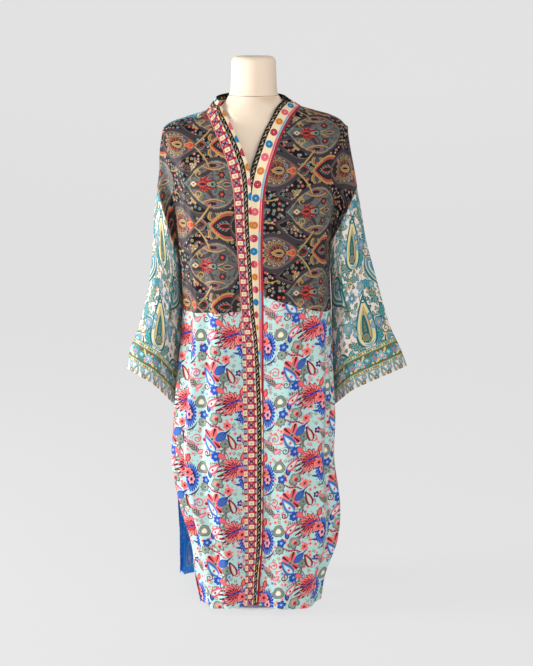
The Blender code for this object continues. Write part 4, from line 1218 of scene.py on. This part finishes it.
yokePrint = {
    "repeat": (178, 187),
    "rightStart": (0.0567, 0.8805),
    "leftStart": (-0.1779, 0.9425),
    "strewn": ("black", dict(Cell=0.0105, Size=0.0040, Petals=5, Loose=0.75), (
        (0.0, "dusty", "cream"), (0.30, "greyTeal", "darkRed"), (0.50, "sand", "black"), (0.66, "ember", "mist"),
        (0.80, "taupe", "sand"), (0.92, "mist", "ember"))),
    "field": ("fieldGrey", dict(Cell=0.0062, Size=0.0029, Petals=4, Loose=0.9), (
        (0.0, "fieldDark", "greyTeal"), (0.34, "greyTeal", "fieldDark"), (0.58, "taupe", "sand"),
        (0.76, "fieldDark", "ember"), (0.90, "dusty", "fieldDark"))),
    "motifs": (
        drop(40, (-60, 0, 180), Fat=0.8, Root=0.8, Fill="dusty"),
        drop(66, (83, 93.5, 180), Fat=0.86, Root=0.72, Fill="field"),
        drop(54, (0, 0), Fat=0.76, Root=0.6, Fill="bodyGrey"),
        stroke(24, (-16, 68, -12), Edge=0.055, Bend=-0.22, Taper=0.2, Fill="gold"),
        stroke(24, (-16, -68, 12), Edge=0.055, Bend=0.22, Taper=0.2, Fill="gold"),
        drop(48, (41, 57, 168), (41, -45, 192), Fat=0.64, Root=0.55, Edge=0.115, Line="ribbon"),
        drop(43.5, (41, 57, 168), (41, -45, 192), Fat=0.6, Root=0.55, Edge=0.022, Line="taupe"),
        drop(17, (53, 2, 180), Fat=0.78, Root=0.8, Heart=0.3, Fill="fieldDark", Line="greyTeal", Inner="ember"),
        stroke(14, (50, 2, 90), Edge=0.15, Bend=0.3, Fill="greyTeal"),
        blossom(5.2, (49, 2, 30), Eye=0.45, Fill="sky", Core="ember"),
        curl(6.2, (76, 2), Edge=0.17, Fill="greyTeal"),
        drop(15, (88, 24, 90), (88, -21, 270), Fat=0.8, Root=0.6, Edge=0.12, Heart=0.28, Fill="fieldDark",
            Line="gold", Core="bodyGrey", Inner="sand"),
        blossom(4.2, (88, 15), (88, -12), Fill="ember"),
        blossom(11.8, (43, 60, 20), (43, -56, 20), Petals=7, Notch=0.42, Eye=0.44, Edge=0.1, Fill="sand", Line="gold",
            Core="bodyGrey"),
        blossom(3.4, (43, 60), (43, -56), Fill="cream"),
        drop(11, (24, 62, 200), (24, -55, 160), Fat=0.55, Root=0.8, Fill="fieldDark", Rib="taupe"),
        drop(40, (-60, 0, 180), Fat=0.8, Root=0.8, Edge=0.06, Heart=0.17, Core="fieldDark", Line="gold",
            Inner="ember"),
        drop(20, (-66, 0, 180), Fat=0.6, Root=0.8, Heart=0.3, Ribs=14, Rib="greyTeal", Core="fieldDark",
            Inner="ember"),
        drop(68, (83, 93.5, 180), Fat=0.88, Root=0.72, Edge=0.06, Line="ribbon"),
        drop(62, (83, 93.5, 180), Fat=0.84, Root=0.72, Edge=0.016, Line="sand"),
        blossom(18.5, (86, 137), (86, 50), Flat=0.4, Petals=7, Notch=0.16, Eye=0.55, Fill="dusty", Core="fieldDark",
            Gap="greyTeal"),
        stroke(26.5, (87, 127.5, -3), Edge=0.06, Bend=0.28, Taper=0.2, Fill="gold"),
        stroke(26.5, (87, 59.5, 3), Edge=0.06, Bend=-0.28, Taper=0.2, Fill="gold"),
        curl(9, (54, 117, 40), (54, 70, 300), Edge=0.15, Winds=1.1, Fill="gold"),
        blossom(8.5, (107, 115), (107, 71), Petals=6, Eye=0.5, Fill="fieldDark", Core="ember"),
        stroke(15, (104, 99, 24), (104, 88, -24), Edge=0.1, Taper=0.3, Fill="gold"),
        drop(15, (122, 93.5), Fat=0.6, Root=0.6, Edge=0.12, Heart=0.3, Fill="bodyGrey", Line="taupe", Inner="sand"),
        blossom(10, (86, 93.5), Petals=8, Eye=0.35, Fill="greyTeal", Core="fieldDark", Line="fieldDark"),
        blossom(19, (71, 93.5, 180), Petals=7, Notch=0.42, Eye=0.34, Hoop=0.66, Edge=0.07, Lean=0.5, Fill="ember",
            Vein="darkRed", Gap="fieldDark", Ring="fieldDark"),
        drop(10, (62, 93.5, 180), Fat=0.5, Root=0.6, Edge=0.14, Heart=0.24, Fill="darkRed", Line="ember",
            Core="fieldDark"),
        blossom(4.8, (78, 93.5), Petals=6, Eye=0.5, Fill="sand", Core="greyTeal"),
        blossom(7.2, (41, 93.5), Petals=4, Eye=0.44, Edge=0.16, Flat=0.8, Fill="cream", Line="gold", Core="bodyGrey"),
        stroke(11, (25, 99, 36), (25, 88, -36), Edge=0.11, Taper=0.6, Fill="greyTeal"),
        drop(54, (0, 0), Fat=0.78, Root=0.6, Edge=0.09, Heart=0.15, Line="ribbon", Inner="taupe"),
        blossom(30, (-8, 0), Petals=15, Notch=0.24, Eye=0.36, Hoop=0.8, Edge=0.05, Lean=0.3, Fill="wine",
            Vein="taupe", Gap="fieldDark", Line="sand", Ring="gold"),
        blossom(19, (-8, 0, 12), Petals=9, Eye=0.42, Edge=0.06, Lean=0.25, Fill="fieldDark", Vein="ember",
            Line="taupe"),
        drop(14, (-2, 0, 180), Fat=0.52, Root=0.7, Edge=0.13, Heart=0.26, Fill="black", Line="gold", Inner="sand"),
        blossom(4.8, (15, 12), (15, -12), Eye=0.4, Fill="bodyLight", Core="fieldDark"),
        drop(6, (30, 11, -30), (30, -11, 30), Fat=0.5, Root=0.8, Fill="ember"),
        drop(10.5, (28, 0, 180), Fat=0.66, Root=0.4, Edge=0.16, Fill="ember", Line="gold"),
        blossom(3.6, (28, 0), Petals=3, Notch=0.4, Fill="coral"),
        stroke(30, (64, 24, 51), Edge=0.062, Taper=0.2, Bend=0.06, Fill="gold"),
        stroke(30, (63, -26, -54), Edge=0.062, Taper=0.2, Bend=-0.14, Fill="gold"),
    ),
}


def yokeColour(tree, cut, across, up):
    spot = printStart(tree, across, up, yokePrint)
    colour, field = (layScatter(tree, cut, *yokePrint[part]) for part in ("strewn", "field"))
    return layMotifs(tree, colour, spot, yokePrint["repeat"], yokePrint["motifs"], field)


# Bands: striped borders with flowers, squares, a small vine and a row of dots

bandDot = partial(blossom, 8.8, Petals=8, Notch=0.06, Eye=0.15, Edge=0.07)

rightBandPrint = {
    "ground": "bandRed",
    "strips": (("black", 31.2, 42.4), ("ecru", 42.4, 60)),
    "layers": (
        ((400, 29.7), (
            stroke(15, (31, 0, 90), (8.9, 0, 90), Edge=0.04, Taper=0, Beads=44, Fill="rose", Core="ecru"),
            blossom(4.2, (4, 0), Flat=1.55, Petals=4, Notch=-0.34, Eye=0.4, Fill="ecru", Core="tan"),
            blossom(3.6, (4, 14.85), Petals=4, Notch=-0.34, Eye=0.5, Fill="bandBlue", Core="mist"),
            blossom(6.7, (17.8, 14.85), Flat=0.72, Petals=4, Notch=-0.36, Eye=0.36, Fill="ecru", Core="tan"),
            blossom(1.9, (28.8, 0), Flat=2.9, Petals=4, Notch=-0.34, Fill="ecru"),
            blossom(1.8, (28.8, 14.85), Flat=1.9, Petals=4, Notch=-0.34, Fill="bandBlue"),
            blossom(9.2, (17.8, 0), Flat=0.86, Petals=4, Notch=0.4, Edge=0.08, Fill="darkRed", Line="rose",
                Core="wine"),
            blossom(2.1, (12.6, 0), (23, 0), (17.8, 4.7), (17.8, -4.7), Petals=4, Notch=0.1, Fill="bandGrey"),
        )),
        ((400, 19.8), (
            stroke(6.6, (36.8, 0, 58), Edge=0.085, Bend=0.25, Fill="ecru"),
            stroke(4.4, (37.2, 1.4, 122), Edge=0.1, Bend=-0.25, Fill="ecru"),
            stroke(5, (36.2, 9.9, 64), Edge=0.1, Bend=-0.2, Fill="tan"),
            drop(2.6, (33.6, 6.6, 60), (40, 13.2, 120), Fat=0.38, Root=1, Fill="fieldGrey"),
        )),
        ((400, 118.8), (
            bandDot((50.5, -4.3), Fill="crimson", Ring="rose"),
            bandDot((50.5, 25.4), Fill="dotBlue", Ring="blue"),
            bandDot((50.5, 55.1), Fill="dotPink", Ring="rose"),
            bandDot((50.5, 84.8), Fill="orange", Ring="brown"),
        )),
    ),
}

leftBandPrint = {
    "ground": "ecru",
    "strips": (("black", -20, 15.0), ("dotPink", 34.6, 39.0), ("wine", 39.6, 41.0), ("crimson", 41.0, 60)),
    "layers": (
        ((400, 138), (
            stroke(30.5, (36.8, 41.5, 90), Edge=0.072, Taper=0, Fill="bandBlue"),
        )),
        ((400, 118.8), (
            bandDot((25.0, 55.0), Fill="crimson", Ring="rose", Core="ecru"),
            bandDot((25.0, 84.7), Fill="orange", Ring="brown", Core="mist"),
            bandDot((25.0, 114.4), Fill="dotPink", Ring="rose", Core="ecru"),
            bandDot((25.0, 25.3), Fill="dotBlue", Ring="blue", Core="ecru"),
        )),
        ((400, 19.8), (
            stroke(6.2, (9.6, 0, 58), Edge=0.085, Bend=0.25, Fill="ecru"),
            stroke(4.4, (10.2, 1.4, 122), Edge=0.1, Bend=-0.25, Fill="ecru"),
            stroke(4.8, (9.2, 9.9, 64), Edge=0.1, Bend=-0.2, Fill="tan"),
            drop(2.6, (6.8, 6.6, 60), (12.4, 13.2, 120), Fat=0.38, Root=1, Fill="fieldGrey"),
        )),
    ),
}


def bandColour(given):
    def paint(tree, cut, across, up):
        return layLayers(tree, layStrips(tree, given["ground"], across, given["strips"]), cut, given["layers"])
    return paint


# Sleeves: paisleys, flowers and lobed leaves on blush white above a flowered border

leaf = partial(blossom, Petals=9, Notch=0.36, Flat=0.44, Eye=0.2, Edge=0.10)
tealLeaf = partial(leaf, Fill="teal", Vein="tan", Line="deepTeal")
mistLeaf = partial(leaf, Fill="teal", Vein="mist", Line="deepTeal")
deepLeaf = partial(leaf, Fill="deepTeal", Vein="tan", Line="teal")

sleevePrint = {
    "repeat": (150, 190),
    "start": (0.075, 0.140),
    "strewn": ("blush", dict(Cell=0.0125, Size=0.0062, Petals=3, Loose=0.95), (
        (0.0, "teal", "tan"), (0.34, "blush", "blush"), (0.50, "mist", "tan"), (0.70, "deepTeal", "mist"),
        (0.84, "bronze", "teal"))),
    "motifs": (
        stroke(40, (-36, 66, 48), Edge=0.045, Bend=0.5, Taper=0.5, Fill="tan"),
        stroke(40, (48, 62, 130), Edge=0.045, Bend=-0.5, Taper=0.5, Fill="tan"),
        stroke(36, (40, -66, 60), Edge=0.05, Bend=0.5, Taper=0.5, Fill="teal"),
        stroke(36, (-44, -60, 120), Edge=0.05, Bend=-0.5, Taper=0.5, Fill="tan"),
        tealLeaf(23, (-50, 48, 70)),
        mistLeaf(22, (-36, 84, 20)),
        deepLeaf(23, (40, 44, 110)),
        tealLeaf(21, (50, 80, 150)),
        tealLeaf(22, (30, -50, 40)),
        leaf(21, (54, -76, 100), Fill="leafGreen", Vein="butter", Line="teal"),
        mistLeaf(23, (-34, -46, 130)),
        deepLeaf(20, (-58, -74, 60)),
        tealLeaf(20, (10, -84)),
        mistLeaf(20, (-64, 8, 95)),
        drop(60, (0, 0, 86), Fat=0.48, Root=0.45, Bend=0.3, Edge=0.04, Heart=0.1, Fill="mist", Line="deepTeal",
            Inner="blush"),
        drop(48, (0, -4, 86), Fat=0.42, Root=0.45, Bend=0.3, Edge=0.07, Heart=0.15, Fill="greyGreen", Line="butter",
            Inner="slate"),
        drop(38, (0, -7, 86), Fat=0.32, Root=0.45, Bend=0.28, Edge=0.05, Heart=0.13, Line="tan", Inner="mist"),
        drop(26, (0, -10, 86), Fat=0.26, Bend=0.2, Edge=0.11, Ribs=17, Fill="leafGreen", Rib="slate",
            Line="deepTeal"),
        blossom(11.5, (1, -36), Petals=7, Notch=0.24, Eye=0.44, Hoop=0.7, Fill="slate", Line="deepTeal",
            Ring="greyGreen", Core="bronze"),
        blossom(8.5, (-27, -14), (27, -18), Eye=0.36, Edge=0.14, Fill="mist", Line="blueGrey", Core="tan"),
        blossom(8.5, (-22, 8), (26, 6), Eye=0.36, Edge=0.14, Fill="blueGrey", Line="teal", Core="tan"),
        drop(52, (75, 95, 250), Fat=0.46, Root=0.45, Bend=-0.34, Edge=0.045, Heart=0.12, Fill="blueGrey",
            Line="deepTeal", Inner="butter"),
        drop(36, (75, 99, 250), Bend=-0.34, Edge=0.07, Heart=0.17, Fill="mist", Line="teal", Inner="blush"),
        blossom(13.5, (70, 118), Petals=9, Notch=0.26, Eye=0.36, Hoop=0.66, Edge=0.1, Fill="blueGrey",
            Line="deepTeal", Ring="mist", Core="tan"),
        blossom(10, (98, 78), Petals=6, Eye=0.36, Fill="mist", Line="teal", Core="tan"),
        blossom(10, (52, 106), Petals=6, Eye=0.36, Fill="teal", Line="deepTeal", Core="tan"),
        blossom(15.5, (46, 2), Petals=6, Hoop=0.62, Edge=0.08, Fill="mist", Ring="blueGrey", Line="teal", Core="tan"),
        blossom(14.5, (-44, -14), Notch=0.32, Hoop=0.62, Edge=0.08, Fill="blueGrey", Ring="mist", Line="deepTeal",
            Core="tan"),
        blossom(13, (20, 66), Petals=8, Edge=0.1, Fill="blueGrey", Line="mist", Ring="deepTeal", Core="butter"),
        blossom(12.5, (-14, 84), Petals=6, Eye=0.32, Edge=0.1, Fill="mist", Line="blueGrey", Core="tan"),
        curl(12, (-14, 54), Edge=0.13, Fill="deepTeal"),
        curl(12, (22, 96, 180), Edge=0.13, Fill="tan"),
        curl(13, (-60, -34), Edge=0.13, Fill="bronze"),
        curl(12, (40, -92, 90), Edge=0.13, Fill="teal"),
    ),
    "strips": (("blush", -1, 23), ("teal", 23, 34.5), ("butter", 25.0, 32.4), ("deepTeal", 26.2, 31.2),
               ("olive", 34.5, 66), ("teal", 66, 77.5), ("butter", 68.0, 75.4), ("deepTeal", 69.2, 74.2)),
    "layers": (
        ((34, 4000), (
            leaf(11, (17, 10, 100), Fill="bronze", Vein="teal"),
            drop(15, (0, 10, 60), Fat=0.5, Bend=0.4, Edge=0.12, Heart=0.22, Seed=0.2, Fill="blueGrey", Line="mist",
                Core="blush", Inner="bronze", Dot="tan"),
            blossom(7, (15, 17), Eye=0.4, Fill="mist", Line="blueGrey", Core="tan"),
            blossom(6.2, (20, 4), Eye=0.4, Fill="slate", Core="tan"),
        )),
        ((58, 4000), (
            stroke(29, (0, 50), Edge=0.028, Wave=0.22, Taper=0, Fill="tan"),
            drop(8, (15, 59, 30), (27, 57, 110), Root=1, Bend=0.3, Fill="teal"),
            drop(8.5, (-27, 42, 160), Root=1, Bend=-0.3, Fill="teal"),
            drop(8, (-13, 41, 20), Root=1, Bend=-0.3, Fill="teal"),
            drop(8, (13, 41, 160), Root=1, Bend=-0.3, Fill="butter", Spine="orange"),
            drop(7.5, (-14, 59, 140), Root=1, Bend=-0.3, Fill="butter", Spine="orange"),
            blossom(11.8, (0, 50), Petals=7, Eye=0.42, Hoop=0.7, Edge=0.09, Fill="paleBlue", Ring="teal",
                Core="orange", Gap="teal"),
            blossom(2.8, (0, 50), Petals=4, Notch=0.2, Fill="blush"),
            blossom(8.5, (20, 49, 40), Notch=0.34, Eye=0.4, Fill="blueGrey", Core="rose"),
            blossom(9.5, (-20, 51), Petals=6, Notch=0.34, Eye=0.45, Flat=0.9, Fill="teal", Gap="paleBlue",
                Core="paleBlue"),
            blossom(3, (8, 60), Petals=4, Fill="salmon"),
            blossom(3.2, (-7, 40), Petals=4, Fill="salmon"),
            blossom(3.2, (27, 40), Petals=4, Fill="butter"),
        )),
        ((26, 4000), (
            blossom(2.4, (0, 28.7), (0, 71.7), Petals=4, Notch=-0.2, Flat=0.8, Fill="orange"),
            blossom(2.4, (6.5, 28.7), (6.5, 71.7), Petals=4, Notch=-0.2, Flat=0.8, Fill="mist"),
            blossom(2.4, (13, 28.7), (13, 71.7), Petals=4, Notch=-0.2, Flat=0.8, Fill="butter"),
            blossom(2.4, (19.5, 28.7), (19.5, 71.7), Petals=4, Notch=-0.2, Flat=0.8, Fill="blush"),
        )),
    ),
}


def sleeveColour(tree, cut, across, up):
    startX, startY = sleevePrint["start"]
    spot = nodeWire(tree, "CombineXYZ", (across - startX, up - startY))
    colour = layScatter(tree, cut, *sleevePrint["strewn"])
    colour = layMotifs(tree, colour, spot, sleevePrint["repeat"], sleevePrint["motifs"])
    return layLayers(tree, layStrips(tree, colour, up, sleevePrint["strips"]), cut, sleevePrint["layers"])


# Back: turquoise above the waist seam and bright blue below

backScatter = dict(Cell=0.014, Size=0.0042, Petals=6, Loose=0.5)
backDrop = partial(drop, Fat=0.46, Edge=0.09, Seed=0.16)
backFlower = partial(blossom, Petals=8, Eye=0.34, Edge=0.1)

backPrints = {
    "repeat": (120, 140),
    "upper": (
        ("turquoise", backScatter, ((0.0, "teal", "butter"), (0.4, "royal", "cream"), (0.75, "white", "coral"))), (
            backDrop(30, (0, 0, 78), Bend=0.4, Fill="deepBlue", Line="white", Core="teal", Inner="butter",
                Dot="coral"),
            backDrop(30, (60, 70, 102), Bend=-0.4, Fill="teal", Line="cream", Core="royal", Inner="white",
                Dot="butter"),
            backFlower(14, (60, 0), Fill="white", Line="royal", Core="coral"),
            backFlower(14, (0, 70), Fill="paleAqua", Line="deepBlue", Core="butter"),
        )),
    "lower": (
        ("deepBlue", backScatter, ((0.0, "turquoise", "cream"), (0.45, "sky", "orange"), (0.8, "orange", "cream"))), (
            backDrop(32, (0, 0, 78), Bend=0.4, Fill="orange", Line="paleAqua", Core="turquoise", Inner="cream",
                Dot="crimson"),
            backDrop(32, (60, 70, 102), Bend=-0.4, Fill="turquoise", Line="cream", Core="orange", Inner="navy",
                Dot="cream"),
            backFlower(15, (60, 0), Fill="sky", Line="white", Core="orange"),
            backFlower(15, (0, 70), Fill="paleAqua", Line="navy", Core="orange"),
        )),
}


def backColour(part):
    def paint(tree, cut, across, up):
        strewn, motifs = backPrints[part]
        return layMotifs(tree, layScatter(tree, cut, *strewn), cut, backPrints["repeat"], motifs)
    return paint


# Materials

silkLook = {
    "surface": {"Roughness": 0.50, "Specular IOR Level": 0.12, "Sheen Weight": 0.03, "Sheen Roughness": 0.45},
    "bump": 0.55,
    "reverseShow": 0.72,
}


def newMaterial(name, inputs):
    material = bpy.data.materials.new(name)
    material.use_nodes = True
    surface = material.node_tree.nodes["Principled BSDF"]
    for entry, value in inputs.items():
        surface.inputs[entry].default_value = value
    return material, material.node_tree, surface


def addBump(tree, surface, height, strength, distance):
    bump = tree.nodes.new("ShaderNodeBump")
    bump.inputs["Strength"].default_value = strength
    bump.inputs["Distance"].default_value = distance
    plug(height, bump.inputs["Height"])
    tree.links.new(bump.outputs[0], surface.inputs["Normal"])


def silkMaterial(name, paint, reverse=None, tone=1.0):
    material, tree, surface = newMaterial(name, silkLook["surface"])
    source = tree.nodes.new("ShaderNodeAttribute")
    source.attribute_name = "cut"
    cut = Wire(tree, source.outputs["Vector"])
    across, up, side = splitVector(cut)
    colour = paint(tree, cut, across, up)
    if reverse:
        colour = layInk(tree, colour, reverse, side * silkLook["reverseShow"])
    silk = groupNode(tree, "silk", cut)
    shaded = tree.nodes.new("ShaderNodeVectorMath")
    shaded.operation = "SCALE"
    plug(colour, shaded.inputs[0])
    plug(Wire(tree, silk.outputs["Shade"]) * tone, shaded.inputs["Scale"])
    tree.links.new(shaded.outputs[0], surface.inputs["Base Color"])
    addBump(tree, surface, Wire(tree, silk.outputs["Height"]), silkLook["bump"], 1.0)
    return material


def plainMaterial(name, colour, roughness, grain=0.0, **inputs):
    inputs = {"Base Color": (*colour, 1), "Roughness": roughness, **inputs}
    material, tree, surface = newMaterial(name, inputs)
    if grain:
        place = tree.nodes.new("ShaderNodeTexCoord").outputs["Object"]
        addBump(tree, surface, noiseWire(tree, place, 900), grain, 0.0006)
    return material


def makeMaterials():
    makeGroups()
    return {
        "floral_print": silkMaterial("floral-silk", floralColour, "paleAqua"),
        "yoke_print": silkMaterial("yoke-silk", yokeColour, "taupe", 0.80),
        "right_band_print": silkMaterial("right-band-silk", bandColour(rightBandPrint)),
        "left_band_print": silkMaterial("left-band-silk", bandColour(leftBandPrint)),
        "sleeve_print": silkMaterial("sleeve-silk", sleeveColour, "white"),
        "back_upper_print": silkMaterial("back-yoke-silk", backColour("upper"), "turquoise"),
        "back_lower_print": silkMaterial("back-skirt-silk", backColour("lower"), "azure"),
        "hem_thread": plainMaterial("hem-thread", (0.70, 0.78, 0.76), 0.6),
        "cuff_thread": plainMaterial("cuff-thread", (0.62, 0.66, 0.60), 0.6),
        "band_thread": plainMaterial("band-thread", (0.30, 0.02, 0.04), 0.6),
        "form_cloth": plainMaterial("form-jersey", (0.84, 0.68, 0.53), 0.9, 0.25, **{"Sheen Weight": 0.2}),
        "pole_metal": plainMaterial("brushed-pole", (0.72, 0.73, 0.74), 0.32, Metallic=1.0),
        "plate_paint": plainMaterial("plate-paint", (0.80, 0.80, 0.79), 0.45),
    }


# The dress form and its stand

formSizes = {
    "clearance": 0.0016,
    "neckRadius": 0.0515,
    "neckSeam": 1.2235,
    "neckTop": 1.3110,
    "capRise": 0.0140,
    "around": 96,
}

# Sections of the torso: height, half width, depth to the front and depth to the back
torsoRows = (
    (1.223, 0.057, 0.0565, 0.056),
    (1.212, 0.064, 0.058, 0.0565),
    (1.199, 0.074, 0.0565, 0.056),
    (1.19, 0.086, 0.057, 0.055),
    (1.185, 0.092, 0.058, 0.054),
    (1.18, 0.111, 0.062, 0.056),
    (1.17, 0.186, 0.074, 0.061),
    (1.156, 0.2, 0.084, 0.07),
    (1.13, 0.196, 0.094, 0.078),
    (1.08, 0.178, 0.106, 0.085),
    (1.01, 0.156, 0.115, 0.088),
    (0.94, 0.145, 0.113, 0.084),
    (0.84, 0.125, 0.095, 0.08),
    (0.76, 0.122, 0.09, 0.084),
    (0.66, 0.145, 0.098, 0.094),
    (0.57, 0.158, 0.1, 0.098),
    (0.515, 0.157, 0.097, 0.096),
    (0.5, 0.151, 0.092, 0.091),
)

# Height and depth of the open chest at the middle, from below upwards
chestRows = (
    (1.04, 0.108),
    (1.08, 0.101),
    (1.12, 0.0905),
    (1.15, 0.0815),
    (1.18, 0.0715),
    (1.2, 0.0645),
    (1.212, 0.06),
    (1.2235, 0.0565),
)


def aroundTurns():
    return np.arange(formSizes["around"]) / formSizes["around"] * 2 * math.pi


def ridgeOut(side, height):
    # How far out the shoulder ridge passes at a height
    outs = np.linspace(0, 0.212, 80)
    return float(np.interp(-height, -shoulderAt(side, outs), outs))


def chestEdge(side, x, height):
    # How far out the band's neck edge is, and how deep the chest may be to stay behind it
    rows = np.abs(bandRows[side])[::-1]
    edge, depth = (float(np.interp(height, rows[:, 0], rows[:, column])) for column in (1, 2))
    return edge, depth - 0.0035 + 0.9 * max(edge - abs(x), 0)


def torsoRings():
    # The torso keeps inside the robe, and the open chest runs smoothly down from the neck
    heights = [row[0] for row in torsoRows]
    heights += [(high + low) / 2 for high, low in zip(heights[:-2], heights[1:-1])]
    torsoAt = partial(readTable, ("height", "half", "front", "back"), torsoRows)
    chestHeights, chestDepths = zip(*chestRows)
    rings = []
    for height in sorted(heights):
        own = float(torsoAt("half", height))
        kept = 0.93 - 0.20 * float(ease((height - 1.164) / 0.014))
        ring = []
        for turn in aroundTurns():
            side = "left" if math.cos(turn) < 0 else "right"
            face = -1 if math.sin(turn) < 0 else 1
            half = own
            if 1.110 < height < 1.195:
                half = min(own, ridgeOut(side, height + formSizes["clearance"]))
            x = half * math.cos(turn)
            swell = abs(math.sin(turn)) ** 0.92
            y = full = float(torsoAt("front" if face < 0 else "back", height)) * swell
            if height < 1.195:
                cloth = abs(float(robePoint(side, face, float(placeAt(side, x, height)), height)[1]))
                robe = max(cloth * kept - 0.0011 - formSizes["clearance"], 1e-5)
                y = (y + 1e-6) * robe / ((y + 1e-6) ** 6 + robe**6) ** (1 / 6)
            if face < 0 and height > 1.04:
                edge, limit = chestEdge(side, x, height)
                chest = float(np.interp(height, chestHeights, chestDepths)) * swell
                y = min(mix(chest, y, float(ease((abs(x) - edge + 0.012) / 0.02))), limit)
            elif height > 1.179:
                y = mix(full, y, float(ease((abs(x) - 0.040) / 0.02)))
            ring.append((x, face * y, height))
        rings.append(ring)
    return rings


def ringPiece(name, rings):
    rings = np.array(rings)
    count, around = rings.shape[:2]
    index = np.arange(count * around).reshape(count, around)
    after = np.roll(index, -1, axis=1)
    quads = np.stack([index[:-1], after[:-1], after[1:], index[1:]], axis=-1).reshape(-1, 4).tolist()
    return meshObject(name, rings.reshape(-1, 3), quads + [index[0, ::-1].tolist(), index[-1].tolist()])


def buildForm(materials):
    torso = ringPiece("form-torso-jersey", torsoRings())
    finishPiece(torso, "form_torso", materials["form_cloth"])
    radius, seam, rise = (formSizes[name] for name in ("neckRadius", "neckSeam", "capRise"))
    cap = formSizes["neckTop"] - rise
    profile = [(radius + 0.0035, seam + 0.0003), (radius + 0.0050, seam + 0.0010), (radius + 0.0048, seam + 0.0022),
               (radius + 0.0024, seam + 0.0075), (radius + 0.0010, seam + 0.018), (radius + 0.0004, seam + 0.034),
               (radius - 0.0004, cap - 0.018), (radius - 0.0010, cap)]
    for step in range(1, 13):
        turn = step / 13 * math.pi / 2
        profile.append((radius - 0.001 - rise * (1 - math.cos(turn)), cap + rise * math.sin(turn)))
    profile.append((radius - 0.001 - rise - 0.012, cap + rise))
    rings = [[(out * math.cos(turn), out * math.sin(turn), height) for turn in aroundTurns()]
             for out, height in profile]
    neck = ringPiece("form-neck-jersey", rings)
    finishPiece(neck, "form_neck", materials["form_cloth"])
    for node, slot in (("stand_pole", "pole_metal"), ("stand_plate", "plate_paint")):
        kept = bpy.data.objects[node]
        kept.data.materials.clear()
        kept.data.materials.append(materials[slot])
    print("dress form laid out")


# Floor, light and camera

lightLook = {
    "key": dict(place=(-2.95, -0.35, 0.75), size=0.8, power=132, aim=(0.0, 0.0, 0.60)),
    "fill": dict(place=(0.7, -3.3, 1.6), size=2.2, power=60, aim=(0.0, 0.0, 0.65)),
    "top": dict(place=(0.0, -1.0, 3.2), size=2.0, power=16, aim=(0.0, 0.0, 0.60)),
}
worldGlow = 0.20
paperLook = {"side": 7.0, "near": 7.0, "far": 5.2, "bend": 0.9, "top": 5.0, "tone": 0.10, "glow": 0.70}
cameraLook = {"place": (0.029, -3.2, 1.417), "tilt": 90 - 13.21, "lens": 74.89}


def sceneObject(name, data, place):
    thing = bpy.data.objects.new(name, data)
    bpy.context.scene.collection.objects.link(thing)
    thing.location = place
    return thing


def buildStage():
    # A sheet of paper that runs back over the floor and bends up far behind the robe
    side, near, far, bend, top = (paperLook[name] for name in ("side", "near", "far", "bend", "top"))
    profile = [(-near, 0.0), (far, 0.0)]
    for step in range(1, 13):
        turn = step / 12 * math.pi / 2
        profile.append((far + bend * math.sin(turn), bend * (1 - math.cos(turn))))
    profile.append((far + bend, top))
    count = len(profile)
    points = [(x, y, z) for x in (-side, side) for y, z in profile]
    faces = [(step, step + count, step + count + 1, step + 1) for step in range(count - 1)]
    floor = meshObject("studio-sweep", points, faces)
    floor.data.shade_smooth()
    glow = {"Specular IOR Level": 0.0, "Emission Color": (1, 1, 1, 1), "Emission Strength": paperLook["glow"]}
    floor.data.materials.append(plainMaterial("studio-paper", (paperLook["tone"],) * 3, 0.95, **glow))


def buildLight():
    for name, given in lightLook.items():
        lamp = bpy.data.lights.new(name + "-light", "AREA")
        lamp.size = given["size"]
        lamp.energy = given["power"]
        aim = Vector(given["aim"]) - Vector(given["place"])
        sceneObject(lamp.name, lamp, given["place"]).rotation_euler = aim.to_track_quat("-Z", "Y").to_euler()
    world = bpy.data.worlds.new("studio-air")
    world.use_nodes = True
    world.node_tree.nodes["Background"].inputs["Color"].default_value = (1, 1, 1, 1)
    world.node_tree.nodes["Background"].inputs["Strength"].default_value = worldGlow
    bpy.context.scene.world = world


def buildCamera():
    lens = bpy.data.cameras.new("photo-camera")
    lens.sensor_width = 36
    lens.sensor_fit = "AUTO"
    lens.lens = cameraLook["lens"]
    thing = sceneObject("photo-camera", lens, cameraLook["place"])
    thing.rotation_euler = (math.radians(cameraLook["tilt"]), 0, 0)
    bpy.context.scene.camera = thing
    bpy.context.scene.view_settings.view_transform = "Standard"


materials = makeMaterials()
print("materials made")
buildForm(materials)
buildStitches(buildRobe(materials), materials)
buildStage()
buildLight()
buildCamera()
